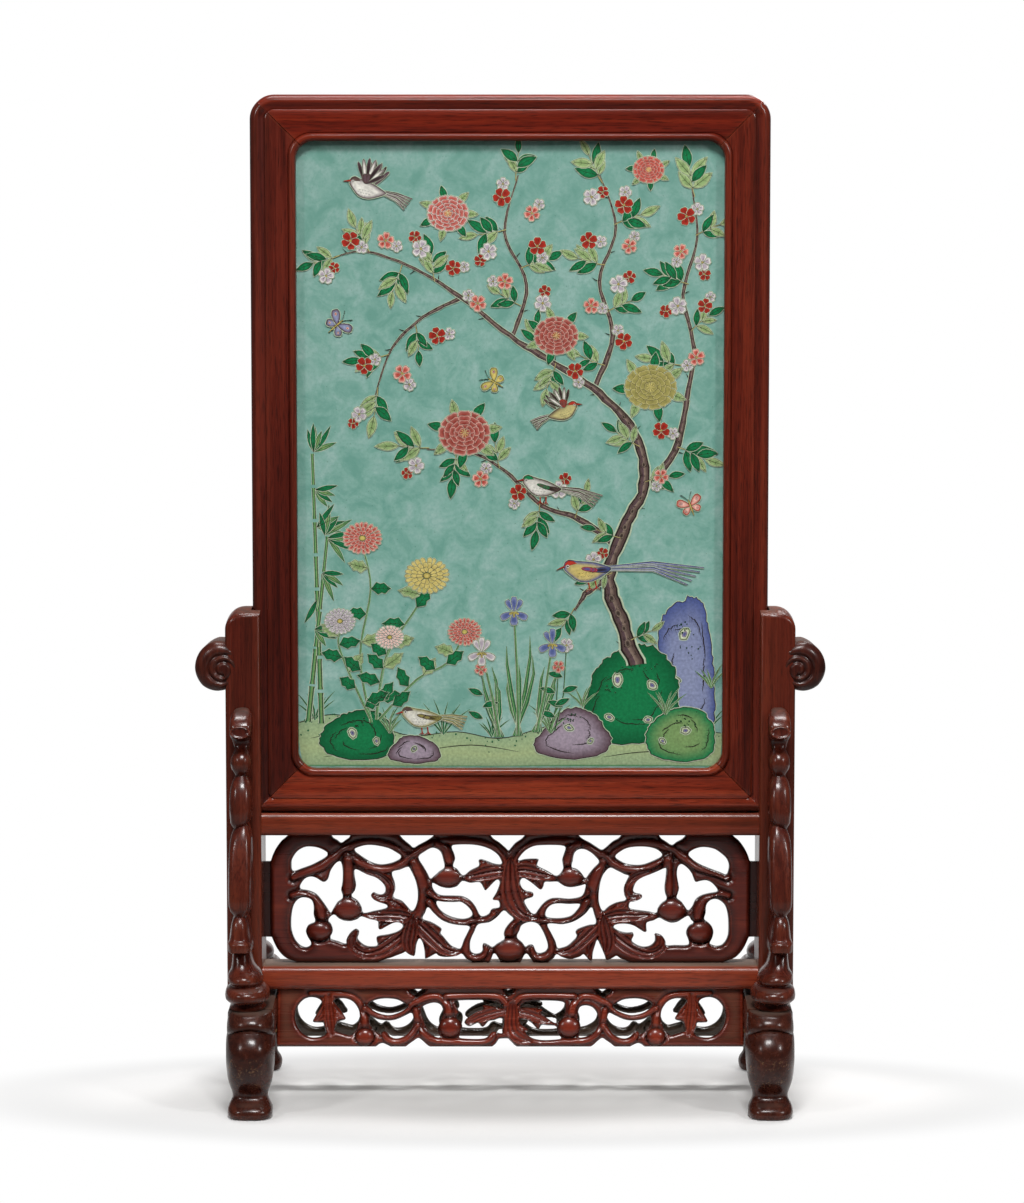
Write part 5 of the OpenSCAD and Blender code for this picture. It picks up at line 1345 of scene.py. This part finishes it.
def bird(sheet, level, u, v, size, turn, face, back, breast, crown, flying, tail):
    """A songbird, drawn with its beak to the left and turned over for the other way."""
    def sized(points):
        return set_down([(p[0] * face * size, p[1] * size) + tuple(p[2:]) for p in points], u, v, turn)

    def swung(points, x, y, lean):
        return sized(set_down(points, x, y, lean))

    for k in range(5):
        lean = -2.4 + 1.2 * k
        ribbon(sheet, level, sized([
            (8, 0.35 * lean + 0.8, 0.6), (8 + tail * 0.5, lean * 0.8 - tail * 0.03, 1.0),
            (8 + tail * (0.84 + 0.05 * k), lean * 1.5 - tail * 0.2, 0.5)]), outlined(
            1.3, (-0.66, 0.1, back, back), (0.1, 0.66, "white", back)))
    if flying:
        for k in range(7):
            feather = petal(13 + 3.4 * sin(pi * (k + 1) / 8), 2.8, 0, 10, 0.5)
            rim = "ink" if k % 2 else back
            dab(sheet, level + 1, swung(feather, 1.5, 3, 130 - 13 * k), rim, back, 0.24, 0.3)
    body = smooth_line([
        (-13, 4.2), (-12.3, 6.5), (-10, 7.7), (-7.2, 6.9), (-3.5, 6), (2, 4.8), (8, 2.2), (10.5, 0.4),
        (6, -2.4), (0, -4.6), (-6, -3.9), (-10.2, -0.2), (-12.5, 2.4)], 2, closed=True)
    dab(sheet, level + 2, sized(body), back, breast, 0.32, 0.42, sized([(-5, -0.4)])[0], 0.7)
    cap = [(-12.6, 5.1), (-11.8, 6.5), (-10, 7.4), (-7.6, 6.7), (-6.2, 5.2), (-8.6, 5), (-10.8, 4.7)]
    dab(sheet, level + 3, sized(cap), crown, crown, 0.2, 0)
    for k in range(15):
        x, y = -8 + 1.7 * (k % 5) + 0.8 * (k // 5), -2.6 + 1.6 * (k // 5) - 0.12 * (k % 5)
        ribbon(sheet, level + 3, sized([(x, y, 0.05), (x + 0.6, y - 0.5, 0.14), (x + 1.2, y, 0.05)]))
    if flying:
        feathers = [(-3, 4, 118 - 14 * k, 12.5 + 4 * sin(pi * (k + 1.5) / 8)) for k in range(7)]
    else:
        feathers = [(-4.5 + 1.2 * k, 2.6 - 0.5 * k, -14 + 3 * k, 14 - 1.1 * k) for k in range(6)]
    for k, (x, y, lean, long) in enumerate(feathers):
        feather = swung(petal(long, 3.1, 0, 10, 0.55), x, y, lean)
        dab(sheet, level + 4, feather, back, "white" if k % 2 else "ink", 0.26, 0.2 if flying else 0)
    for k in range(4):
        x, y, lean, long = feathers[k]
        dab(sheet, level + 5, swung(petal(long * 0.42, 2.8, 0, 10, 0.7), x, y, lean), crown, back, 0.22, 0)
    ribbon(sheet, level + 4, sized([(-12.4, 4.6, 0.85), (-14.8, 4, 0.5), (-16.8, 3.5, 0.1)]), (
        (-1, -0.5, "ink", "ink"), (-0.5, 0.6, "red", "red"), (0.6, 1, "ink", "ink")))
    for over, reach, tint in ((5, 0.95, "white"), (6, 0.5, "ink")):
        eye = [(-10.9 + reach * cos(0.785 * k), 4.5 + reach * sin(0.785 * k)) for k in range(8)]
        dab(sheet, level + over, sized(eye), tint, tint, 0.12, 0)
    if not flying:
        leg_tint = ((-1, 1, "red", "deep_red"),)
        for x in (-2, 1.4):
            ribbon(sheet, level + 1, sized([(x, -3.8, 0.6), (x + 0.4, -8, 0.4)]), leg_tint)
            for out in (-1.8, 0, 1.8):
                toe = [(x + 0.4, -7.6, 0.32), (x + 0.2 + out, -9.2, 0.14)]
                ribbon(sheet, level + 1, sized(toe), leg_tint)


def butterfly(sheet, level, u, v, size, turn, rim, heart):
    """Four spotted wings, a striped body and feelers."""
    for side in (-1, 1):
        for lean, long, wide in ((58, 11, 8), (124, 8, 7)):
            a = turn + side * lean
            wing = set_down(petal(long, wide, 0.04, 14, 0.4), u, v, a, size)
            dab(sheet, level + (lean < 90), wing, rim, heart, 0.3, 0.4)
            spot = [(x + long * 0.55, y) for x, y in petal(long * 0.24, wide * 0.26, 0, 8, 1)]
            dab(sheet, level + 2, set_down(spot, u, v, a, size), "white", "red", 0.22, 0)
        feeler = [(4, 0, 0.1), (8, side * 2.4, 0.08), (10, side * 4.2, 0.22)]
        ribbon(sheet, level + 3, set_down(feeler, u, v, turn, size))
    body = [(5, 0, 0.3), (2, 0, 0.8), (-4, 0, 0.7), (-8, 0, 0.12)]
    ribbon(sheet, level + 4, set_down(body, u, v, turn, size), (
        (-1, -0.6, "ink", "ink"), (-0.6, 0.6, "olive", "yellow"), (0.6, 1, "ink", "ink")))


def tuft(sheet, level, u, v, size, count, colours=dark_leaf):
    """Grass: blades that rise from one root and bend over."""
    for k in range(count):
        lean = 90 + (k - (count - 1) / 2) * 84 / count + chance.uniform(-6, 6)
        long = size * chance.uniform(0.7, 1.1)
        bend = copysign(long * 0.14, 90 - lean)
        blade = [(0, 0, 0.5), (long * 0.4, 0, 0.62), (long * 0.75, -bend * 0.5, 0.44), (long, -bend, 0.08)]
        ribbon(sheet, level, set_down(blade, u, v, lean), outlined(1.4, (-0.4, 1, *colours)))


# The bank along the foot of the picture, its folds, its moss and its grass
bank_top = [
    (-157.6, 34), (-132, 40), (-104, 33), (-74, 24), (-40, 27), (-8, 22), (24, 30), (60, 40), (100, 38),
    (130, 30), (157.6, 26)]
bank_line = smooth_line(bank_top, 5)
ribbon("ground", 0, [(u, v / 2 + 0.3, (v - 0.6) / 2) for u, v in bank_line], (
    (-1, 0.2, "bank", "pale_green"), (0.2, 0.9, "pale_green", "bank"), (0.9, 0.98, "bank", "emerald")))
ribbon("ground", 1, [(u, v, 0.34) for u, v in bank_line])
for fold in (
        [(-150, 22), (-120, 27), (-96, 20)], [(-70, 12), (-30, 17), (6, 12)],
        [(-140, 8), (-104, 12), (-80, 7)], [(30, 16), (64, 24), (90, 18)], [(70, 8), (104, 12), (150, 9)]):
    route = enumerate(smooth_line(fold, 5))
    ribbon("ground", 1, [(u, v, 0.1 + 0.26 * sin(pi * k / 10)) for k, (u, v) in route])
for _ in range(150):
    k = chance.randint(0, len(bank_line) - 1)
    u, v = bank_line[k]
    u, v, r = u + chance.uniform(-3, 3), v - abs(chance.gauss(0, 5)), chance.uniform(0.35, 0.9)
    if abs(u) < 156 and v > 1.5:
        moss = set_down(petal(2 * r, 1.6 * r, 0, 8, 1), u, v, chance.uniform(0, 180))
        dab("ground", 2, moss, *dark_leaf, 0.16, 0)
for u, v, size, count in (
        (-146, 36, 24, 7), (-92, 28, 20, 6), (-50, 25, 26, 7), (-14, 23, 18, 6), (30, 31, 22, 7),
        (148, 27, 20, 6)):
    tuft("ground", 3, u, v, size, count)

# Bamboo at the left edge
for foot, head in (((-141, 32), (-147, 236)), ((-151, 34), (-136, 174))):
    joints = 8 if head[1] > 200 else 5
    for k in range(joints):
        a, b = k / joints + 0.006, (k + 1) / joints - 0.006
        low, high = [(foot[0] + (head[0] - foot[0]) * t, foot[1] + (head[1] - foot[1]) * t) for t in (a, b)]
        w = 1.9 - 0.9 * a
        inner = [
            (low[0] * near + high[0] * far, low[1] * near + high[1] * far, w * 0.92)
            for near, far in ((0.9, 0.1), (0.1, 0.9))]
        ribbon("ground", 4, [(*low, w * 1.1), *inner, (*high, w * 1.1)], outlined(
            1.3, (-0.7, 0.2, "emerald", "leaf_green"), (0.2, 0.7, "leaf_green", "deep_green")))
for u, v, lean in (
        (-146, 236, 60), (-146, 236, 118), (-145, 208, -28), (-146, 208, 200), (-144, 180, 20),
        (-138, 174, 66), (-136, 172, -14), (-143, 152, 196), (-140, 146, -34), (-144, 126, 214),
        (-146, 104, -20), (-148, 84, 204)):
    for k in range(4):
        long = chance.uniform(15, 24)
        turn = lean + (k - 1.5) * 22
        end = u + long * cos(radians(turn))
        if abs(end) < 156:
            rim, heart = dark_leaf if k % 2 else ("emerald", "leaf_green")
            leaf("ground", 5 + k, u, v, turn, long, 3.8, rim, heart, 0, 0)

# Rocks at the lower right, under the tree, and a low one at the left
rock("ground", 6, (134, 66), [
    (116, 20), (112, 44), (118, 60), (109, 74), (113, 92), (107, 106), (116, 124), (128, 120), (134, 134),
    (146, 126), (144, 110), (153, 98), (149, 78), (155, 60), (151, 40), (155, 22), (136, 16)],
    "blue", "pale_blue", ((130, 100, 5), (124, 66, 3.6)), 11)
rock("ground", 10, (91, 50), [
    (58, 18), (50, 34), (60, 46), (54, 62), (66, 68), (64, 84), (78, 80), (84, 96), (96, 88), (108, 98),
    (112, 80), (126, 82), (121, 64), (131, 52), (120, 42), (128, 24), (100, 14)],
    "deep_green", "emerald", ((80, 66, 5), (106, 62, 4.2), (74, 38, 3.6), (103, 36, 3.2)), 10)
rock("ground", 14, (44, 27), [
    (12, 8), (16, 22), (26, 24), (27, 38), (38, 38), (44, 50), (54, 42), (66, 44), (68, 28), (80, 22),
    (74, 8), (44, 4)],
    "aubergine", "lilac", ((44, 30, 3.4), (60, 20, 2.6)), 8)
rock("ground", 18, (128, 25), [
    (100, 6), (104, 20), (98, 30), (110, 34), (114, 46), (128, 42), (138, 50), (146, 38), (155, 34),
    (151, 18), (156, 6), (128, 3)],
    "emerald", "leaf_green", ((131, 28, 3.8), (114, 20, 2.8)), 8)
rock("ground", 6, (-112, 23), [
    (-144, 6), (-140, 20), (-146, 28), (-132, 32), (-128, 44), (-116, 38), (-106, 50), (-98, 38), (-86, 36),
    (-90, 22), (-80, 8), (-106, 4)],
    "deep_green", "emerald", ((-118, 26, 4.2), (-100, 20, 3)), 9)
rock("ground", 10, (-72, 13), [
    (-96, 4), (-92, 14), (-84, 18), (-80, 28), (-70, 22), (-58, 24), (-54, 12), (-46, 4), (-72, 2)],
    "aubergine", "lilac", ((-72, 14, 2.6),), 6)
mossy = [(92, 76), (74, 58), (106, 74), (130, 104), (134, 88), (44, 36), (-112, 31), (130, 34)]
for _ in range(90):
    u, v = chance.choice(mossy)
    r = chance.uniform(0.4, 0.9)
    u, v = u + chance.gauss(0, 4), v + chance.gauss(0, 2.4)
    moss = set_down(petal(2 * r, 1.7 * r, 0, 8, 1), u, v, chance.uniform(0, 180))
    dab("ground", 22, moss, "ink", "deep_green", 0.12, 0)
for u, v, size, count in (
        (54, 46, 18, 5), (116, 40, 22, 6), (150, 60, 20, 5), (30, 26, 20, 6), (-90, 26, 18, 5)):
    tuft("ground", 23, u, v, size, count, ("leaf_green", "emerald"))

# The flowering tree: limbs, leaves, small blossoms and full blooms
for level, route in (
        (24, [(130, 272, 1.9), (136, 312, 1.6), (128, 352, 1.2), (138, 394, 0.8), (134, 430, 0.4)]),
        (24, [(62, 282, 2.1), (76, 322, 1.6), (66, 362, 1.2), (78, 402, 0.9), (66, 440, 0.4)]),
        (24, [(2, 322, 1.6), (12, 360, 1.2), (-4, 398, 0.9), (6, 440, 0.4)]),
        (24, [(-36, 350, 1.4), (-64, 336, 1.1), (-88, 312, 0.8), (-100, 278, 0.4)]),
        (24, [(80, 166, 2.6), (52, 186, 2), (24, 196, 1.6), (-4, 222, 1.2), (-30, 236, 0.9),
              (-62, 238, 0.4)]),
        (25, [(98, 208, 3), (122, 236, 2.4), (131, 274, 1.9)]),
        (25, [(74, 142, 2.6), (58, 132, 1.9), (48, 118, 0.7)]),
        (26, [(94, 76, 6), (84, 108, 5), (73, 140, 4.4), (84, 178, 4), (99, 212, 3.6), (92, 250, 3.1),
              (66, 280, 2.6), (34, 301, 2.2), (0, 322, 1.8), (-36, 350, 1.4), (-70, 371, 1),
              (-106, 384, 0.7), (-130, 380, 0.4)])):
    branch("tree", level, route)
for u, v, turn, size in (
        (136, 424, 100, 20), (137, 396, 24, 17), (132, 360, 160, 18), (134, 326, 40, 15),
        (128, 300, 168, 19), (124, 240, -24, 20), (68, 434, 116, 20), (77, 404, 20, 18), (70, 374, 166, 18),
        (72, 340, 24, 17), (70, 300, 158, 17), (96, 240, 148, 18), (4, 436, 84, 18), (-3, 400, 190, 19),
        (8, 372, 18, 18), (8, 344, 150, 16), (34, 302, 250, 18), (18, 312, 84, 16), (-126, 381, 196, 18),
        (-104, 384, 120, 18), (-80, 374, 250, 18), (-56, 362, 96, 18), (-98, 284, 262, 19),
        (-90, 308, 190, 18), (-70, 330, 276, 17), (-60, 239, 176, 20), (-40, 237, 262, 18),
        (-8, 224, 100, 17), (22, 198, 262, 18), (48, 187, 66, 17), (100, 214, 12, 16), (82, 172, 160, 17),
        (48, 120, 236, 16), (76, 146, 196, 15), (90, 96, 24, 15)):
    spray("tree", 28, u, v, turn, size * 1.12, 3 if size > 17 else 2)
for u, v, r, kind in (
        (130, 410, 6.4, 0), (142, 376, 6, 1), (126, 384, 5.4, 2), (124, 344, 6.4, 1), (144, 344, 5.2, 0),
        (138, 306, 6, 2), (60, 424, 6, 1), (84, 418, 6.4, 0), (88, 388, 5.4, 2), (58, 392, 6, 0),
        (80, 360, 6.4, 1), (60, 344, 5.6, 2), (84, 318, 6, 0), (-6, 424, 6.4, 0), (16, 412, 5.6, 2),
        (-16, 384, 6, 1), (20, 388, 6.2, 0), (-4, 362, 5.8, 2), (24, 346, 6, 1), (48, 296, 5.8, 0),
        (-118, 392, 6.4, 0), (-136, 366, 5.6, 1), (-92, 392, 6, 2), (-66, 386, 6.4, 1), (-42, 372, 5.4, 0),
        (-24, 346, 6, 2), (-108, 300, 6, 0), (-80, 294, 6.4, 2), (-112, 264, 5.4, 1), (-54, 322, 6, 0),
        (-70, 226, 5.8, 1), (-22, 216, 6, 2), (6, 206, 5.8, 0), (36, 208, 6.2, 1), (112, 252, 6, 0),
        (112, 218, 5.4, 2), (62, 156, 5.6, 1)):
    rim, heart = (("red", "deep_red"), ("white", "lilac"), ("pale_red", "red"))[kind]
    blossom("tree", 34, u, v, r * 1.12, rim, heart, chance.uniform(0, 72))
    rim, heart = (("white", "lilac"), ("red", "deep_red"), ("white", "lilac"))[kind]
    lean = chance.uniform(0, 2 * pi)
    u, v = u + r * 1.5 * cos(lean), v + r * 1.5 * sin(lean)
    blossom("tree", 32, u, v, r * 0.8, rim, heart, chance.uniform(0, 72))
for u, v, r, rim, heart, turn in (
        (-34, 250, 20, "pale_red", "deep_red", 10), (104, 284, 20, "pale_olive", "olive", 30),
        (-46, 412, 16, "white", "red", 50), (34, 322, 17, "pale_red", "deep_red", 0),
        (102, 444, 12, "pale_red", "red", 20)):
    for k in range(7):
        a = turn + 51.4 * k
        root_u, root_v = u + r * 0.7 * cos(radians(a)), v + r * 0.6 * sin(radians(a))
        leaf("blooms", 34, root_u, root_v, a, r * 0.72, r * 0.34, *(dark_leaf if k % 2 else pale_leaf))
    bloom("blooms", 36, u, v, r, rim, heart, turn)

# Chrysanthemums at the lower left
green_stem = outlined(1.4, (-0.5, 1, "leaf_green", "emerald"))
for route in (
        [(-104, 34), (-112, 84), (-104, 134), (-110, 166)], [(-100, 36), (-92, 84), (-70, 120), (-62, 138)],
        [(-104, 36), (-118, 66), (-128, 92), (-126, 104)], [(-98, 36), (-70, 66), (-48, 78), (-36, 96)],
        [(-100, 40), (-96, 70), (-90, 92)]):
    stem = smooth_line(route, 5)
    ribbon("blooms", 24, [(u, v, 0.8 - 0.3 * k / len(stem)) for k, (u, v) in enumerate(stem)], green_stem)
    for k in range(2, len(stem) - 2, 2):
        u, v = stem[k]
        turn = (30 if k % 4 else 150) + chance.uniform(-26, 26)
        rim, heart = dark_leaf if k % 3 else pale_leaf
        leaf("blooms", 25 + k % 3, u, v, turn, chance.uniform(14, 19), 8.6, rim, heart, 0.22)
for u, v, r, rim, heart in (
        (-110, 172, 15, "pale_red", "red"), (-62, 144, 17, "pale_olive", "yellow"),
        (-127, 110, 12, "white", "lilac"), (-34, 102, 13, "pale_red", "red"),
        (-90, 98, 11, "white", "pale_red")):
    chrysanthemum("blooms", 29, u, v, r, rim, heart, chance.uniform(0, 30))

# Irises on the bank, with leaves like swords and three hanging and three standing petals on each stalk
for u, v, lean, tall, rim, heart in (
        (6, 25, 92, 92, "pale_blue", "blue"), (-8, 24, 102, 64, "white", "lilac"),
        (20, 28, 80, 66, "pale_blue", "blue")):
    for k, swing in enumerate((-27, -13, 8, 19, 32)):
        long = tall * (0.5 + 0.08 * (k * 3 % 5))
        sword = [
            (0, 0, 1.0), (long * 0.45, swing * 0.04, 1.5), (long * 0.8, swing * 0.16, 1.0),
            (long, swing * 0.36, 0.1)]
        ribbon("blooms", 24 + k % 3, set_down(sword, u - 0.1 * swing, v - 1, lean - swing * 0.8), outlined(
            1.3, (-0.74, 0.1, "emerald", "leaf_green"), (0.1, 0.74, "deep_green", "emerald")))
    tip_u, tip_v = set_down([(tall, 0)], u, v, lean)[0]
    stalk = [(u, v, 0.9), ((u + tip_u) / 2 + 0.8, (v + tip_v) / 2, 0.75), (tip_u, tip_v, 0.6)]
    ribbon("blooms", 27, stalk, green_stem)
    for k, (turn, long, wide) in enumerate((
            (58, 11, 6), (122, 11, 6), (90, 12, 6.4), (206, 11.5, 7.4), (-26, 11.5, 7.4),
            (270, 10.5, 8.4))):
        hanging = set_down(petal(long, wide, 0.05, 12, 0.3), tip_u, tip_v, turn)
        dab("blooms", 29 + k, hanging, rim, heart, 0.28, 0.4)
        if k > 2:
            beard = set_down(petal(4.4, 2, 0, 8, 0.9), tip_u, tip_v, turn)
            dab("blooms", 35, beard, "yellow", "olive", 0.2, 0)
for u, v, r, rim, heart in (
        (42, 92, 5.6, "white", "lilac"), (36, 76, 5, "pale_red", "red"), (-22, 74, 5, "pale_red", "red")):
    ribbon("blooms", 24, [(u * 0.7 + 4, 28, 0.5), (u * 0.9 + 2, v * 0.6, 0.45), (u, v, 0.35)], (
        (-1, 0, "ink", "ink"), (0, 1, "emerald", "leaf_green")))
    for k, up in enumerate((0.5, 0.62, 0.74)):
        leaf("blooms", 25 + k, u * 0.93, v * up, 24 if k % 2 else 156, 12, 4.6, *dark_leaf, 0, 3)
    blossom("blooms", 29, u, v, r, rim, heart, chance.uniform(0, 72))

# Birds and butterflies
bird("birds", 44, 25, 208.6, 1.25, -4, 1, "brown", "white", "emerald", False, 26)
bird("birds", 44, 60, 146.5, 1.5, 8, 1, "blue", "yellow", "red", False, 46)
bird("birds", 44, -104, 428, 1.2, -10, 1, "aubergine", "white", "brown", True, 18)
bird("birds", 44, 38, 264, 1.0, 14, -1, "brown", "pale_olive", "red", True, 15)
bird("birds", 44, -64, 36.6, 1.3, 2, 1, "olive", "white", "brown", False, 16)
butterfly("birds", 44, -128, 330, 1.1, 40, "aubergine", "pale_blue")
butterfly("birds", 44, -12, 288, 1.0, 150, "olive", "yellow")
butterfly("birds", 44, 134, 196, 1.0, 110, "red", "pale_red")

enamel = bpy.data.materials.new("enamels_painted_in_ink_and_fired")
tree = blank(enamel)
laid = put(tree, "VertexColor", layer_name="enamel")
place = put(tree, "TexCoord")
# The brush leaves thicker and thinner enamel every 2 mm
pool = put(tree, "TexNoise", {"Vector": (place, "Object"), "Scale": 1 / (2 * MM), "Detail": 3.0})
depth = put(tree, "ValToRGB", {"Fac": (pool, "Fac")})
shades(depth, [(0.3, (0.78, 0.78, 0.78, 1)), (0.7, (1.14, 1.14, 1.14, 1))])
pooled = put(
    tree, "Mix", {0: 1.0, 6: (laid, "Color"), 7: (depth, "Color")}, data_type="RGBA", blend_type="MULTIPLY")
fired = put(tree, "BsdfPrincipled", {
    "Base Color": (pooled, 2), "Roughness": 0.28, "Specular IOR Level": 0.35, "Coat Weight": 0.2,
    "Coat Roughness": 0.1})
put(tree, "OutputMaterial", {"Surface": (fired, "BSDF")})
for sheet, (spots, patches, tints) in sheets.items():
    painted = shape(f"painted_{sheet}", spots, patches)
    tones = painted.data.color_attributes.new("enamel", "FLOAT_COLOR", "CORNER")
    tones.data.foreach_set("color", [c for tint in tints for c in tint])
    painted.data.materials.append(enamel)
    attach(painted, "screen_panel")

# Back: a plain board behind the plaque with two dovetailed battens, four slips round its edge and the
# bamboo pins that hold them. The board is a cheaper pale wood, left unpolished.
board_wood = hongmu("pale_softwood_planed_x", "X", "#7a5636", "#93693f", "#ab8052", 0.55)
slip_wood_x = hongmu("hongmu_slip_scraped_x", "X", "#341109", "#521d12", "#6b2b1b", 0.45)
slip_wood_z = hongmu("hongmu_slip_scraped_z", "Z", "#341109", "#521d12", "#6b2b1b", 0.45)
bamboo = hongmu("bamboo_split_and_shaved", "X", "#9c7c47", "#b8975c", "#cbae78", 0.5)
dowel_wood = hongmu("dowel_wood_shaved", "Y", "#7a5a38", "#94714a", "#ab8a60", 0.6)
back_finishes = {
    "back_board": board_wood, "upper_batten": slip_wood_x, "lower_batten": slip_wood_x,
    "back_slip_left": slip_wood_z, "back_slip_right": slip_wood_z, "back_slip_top": slip_wood_x,
    "back_slip_bottom": slip_wood_x, "slip_pins": bamboo, "spandrel_dowels": dowel_wood,
    "volute_dowels": dowel_wood, "apron_dowels": dowel_wood}
for node_name, finish in back_finishes.items():
    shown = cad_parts[node_name]
    shown.data.materials.clear()
    shown.data.materials.append(finish)

# Studio: a white floor that keeps the shadow, with a painted shadow in the paper under the stand, and
# fades to the white background. Soft boxes stand high in front, on both sides and behind, with a strip
# overhead, and the rest of the room is dark, so that the wax shows them.
floor_w, shadow_half_w, shadow_half_d = 2.4, 0.43, 0.165


def sees_white(tree, behind):
    """What looks straight or through glass sees the white, and so does a gloss that faces the backdrop."""
    path = put(tree, "LightPath")
    mirror = put(tree, "Math", {0: (path, "Is Glossy Ray"), 1: (behind, "Result")}, operation="MULTIPLY")
    glass = put(
        tree, "Math", {0: (path, "Is Camera Ray"), 1: (path, "Is Transmission Ray")}, operation="MAXIMUM")
    return put(tree, "Math", {0: (glass, "Value"), 1: (mirror, "Value")}, operation="MAXIMUM")


bpy.ops.object.select_all(action="DESELECT")
bpy.ops.mesh.primitive_plane_add(size=floor_w)
floor = bpy.context.object
floor.name = "floor"
paper = bpy.data.materials.new("white_paper_sweep")
tree = blank(paper)
place = put(tree, "TexCoord")
# The shadow lies within an oval, past which the paper is plain white; inside it the paper is painted
# darker towards the middle, as a painted shadow
oval = put(tree, "Mapping", {
    "Vector": (place, "Object"), "Location": (0, 0.1, 0),
    "Scale": (1 / shadow_half_w, 1 / shadow_half_d, 1)})
reach = put(tree, "VectorMath", {0: (oval, "Vector")}, operation="LENGTH")
far = put(tree, "MapRange", {
    "Value": (reach, "Value"), "From Min": 0.5, "From Max": 1.05}, interpolation_type="SMOOTHSTEP")
beyond = put(tree, "MapRange", {"Value": (reach, "Value"), "From Min": 0.3, "From Max": 0.75})
spot = put(tree, "SeparateXYZ", {"Vector": (place, "Object")})
behind = put(tree, "MapRange", {"Value": (spot, "Y"), "From Min": 0.3, "From Max": 1.0})
clear = sees_white(tree, behind)
seen_far = put(tree, "Math", {0: (far, "Result"), 1: (clear, "Value")}, operation="MULTIPLY")
painted_shadow_tone = put(
    tree, "Mix", {0: (beyond, "Result"), 6: linear("#cfcecc"), 7: linear("#eeedec")}, data_type="RGBA")
tone = put(tree, "Mix", {0: (far, "Result"), 6: (painted_shadow_tone, 2), 7: linear("#8a8988")}, data_type="RGBA")
lit = put(tree, "BsdfDiffuse", {"Color": (tone, 2)})
white = put(tree, "Emission", {"Color": (1, 1, 1, 1), "Strength": 1.0})
sweep = put(tree, "MixShader", {0: (seen_far, "Value"), 1: (lit, "BSDF"), 2: (white, "Emission")})
put(tree, "OutputMaterial", {"Surface": (sweep, "Shader")})
floor.data.materials.append(paper)

world = bpy.data.worlds.new("studio")
bpy.context.scene.world = world
tree = blank(world)
place = put(tree, "TexCoord")
toward = put(tree, "SeparateXYZ", {"Vector": (place, "Generated")})
behind = put(tree, "MapRange", {
    "Value": (toward, "Y"), "From Min": 0.9, "From Max": 1.0}, interpolation_type="SMOOTHSTEP")
clear = sees_white(tree, behind)
room = put(tree, "Background", {"Color": (1, 1, 1, 1), "Strength": 0.09})
backdrop = put(tree, "Background", {"Color": (1, 1, 1, 1), "Strength": 1.0})
both = put(tree, "MixShader", {0: (clear, "Value"), 1: (room, "Background"), 2: (backdrop, "Background")})
put(tree, "OutputWorld", {"Surface": (both, "Shader")})

# (name, place, aim, width, height, watts)
for name, at, aim, width, height, watts in (
        ("front_box", (0.0, -1.2, 2.15), (0, 0, 0.35), 0.6, 0.45, 41),
        ("rear_strip", (0.05, 0.26, 2.2), (0.05, 0.2, 0.0), 1.5, 0.3, 38),
        ("rear_box", (0.7, 1.5, 1.6), (0, 0, 0.4), 0.5, 0.5, 10),
        ("left_box", (-1.75, -1.6, 1.7), (0, 0, 0.35), 0.28, 0.4, 13),
        ("right_box", (1.75, -1.6, 1.7), (0, 0, 0.35), 0.28, 0.4, 20)):
    light = bpy.data.lights.new(name, "AREA")
    light.shape = "RECTANGLE"
    light.size, light.size_y, light.energy = width, height, watts
    lamp = bpy.data.objects.new(name, light)
    lamp.location = at
    lamp.rotation_euler = (Vector(aim) - Vector(at)).to_track_quat("-Z", "Y").to_euler()
    bpy.context.collection.objects.link(lamp)

# Camera: a long lens that stands well in front of the screen, a little above its middle, and is tipped down
# by about four and a half degrees.
focal_px, frame_px, sensor_w = 3084.8, 1203, 36
camera_place, camera_tip = (0.0013, -2.2982, 0.5497), 0.0776
camera = bpy.data.cameras.new("camera")
camera.sensor_width = sensor_w
camera.lens = sensor_w * focal_px / frame_px
camera.clip_end = 50
eye = bpy.data.objects.new("camera", camera)
eye.location = camera_place
eye.rotation_euler = (radians(90) - camera_tip, 0, 0)
bpy.context.collection.objects.link(eye)
bpy.context.scene.camera = eye
bpy.context.scene.view_settings.view_transform = "Standard"
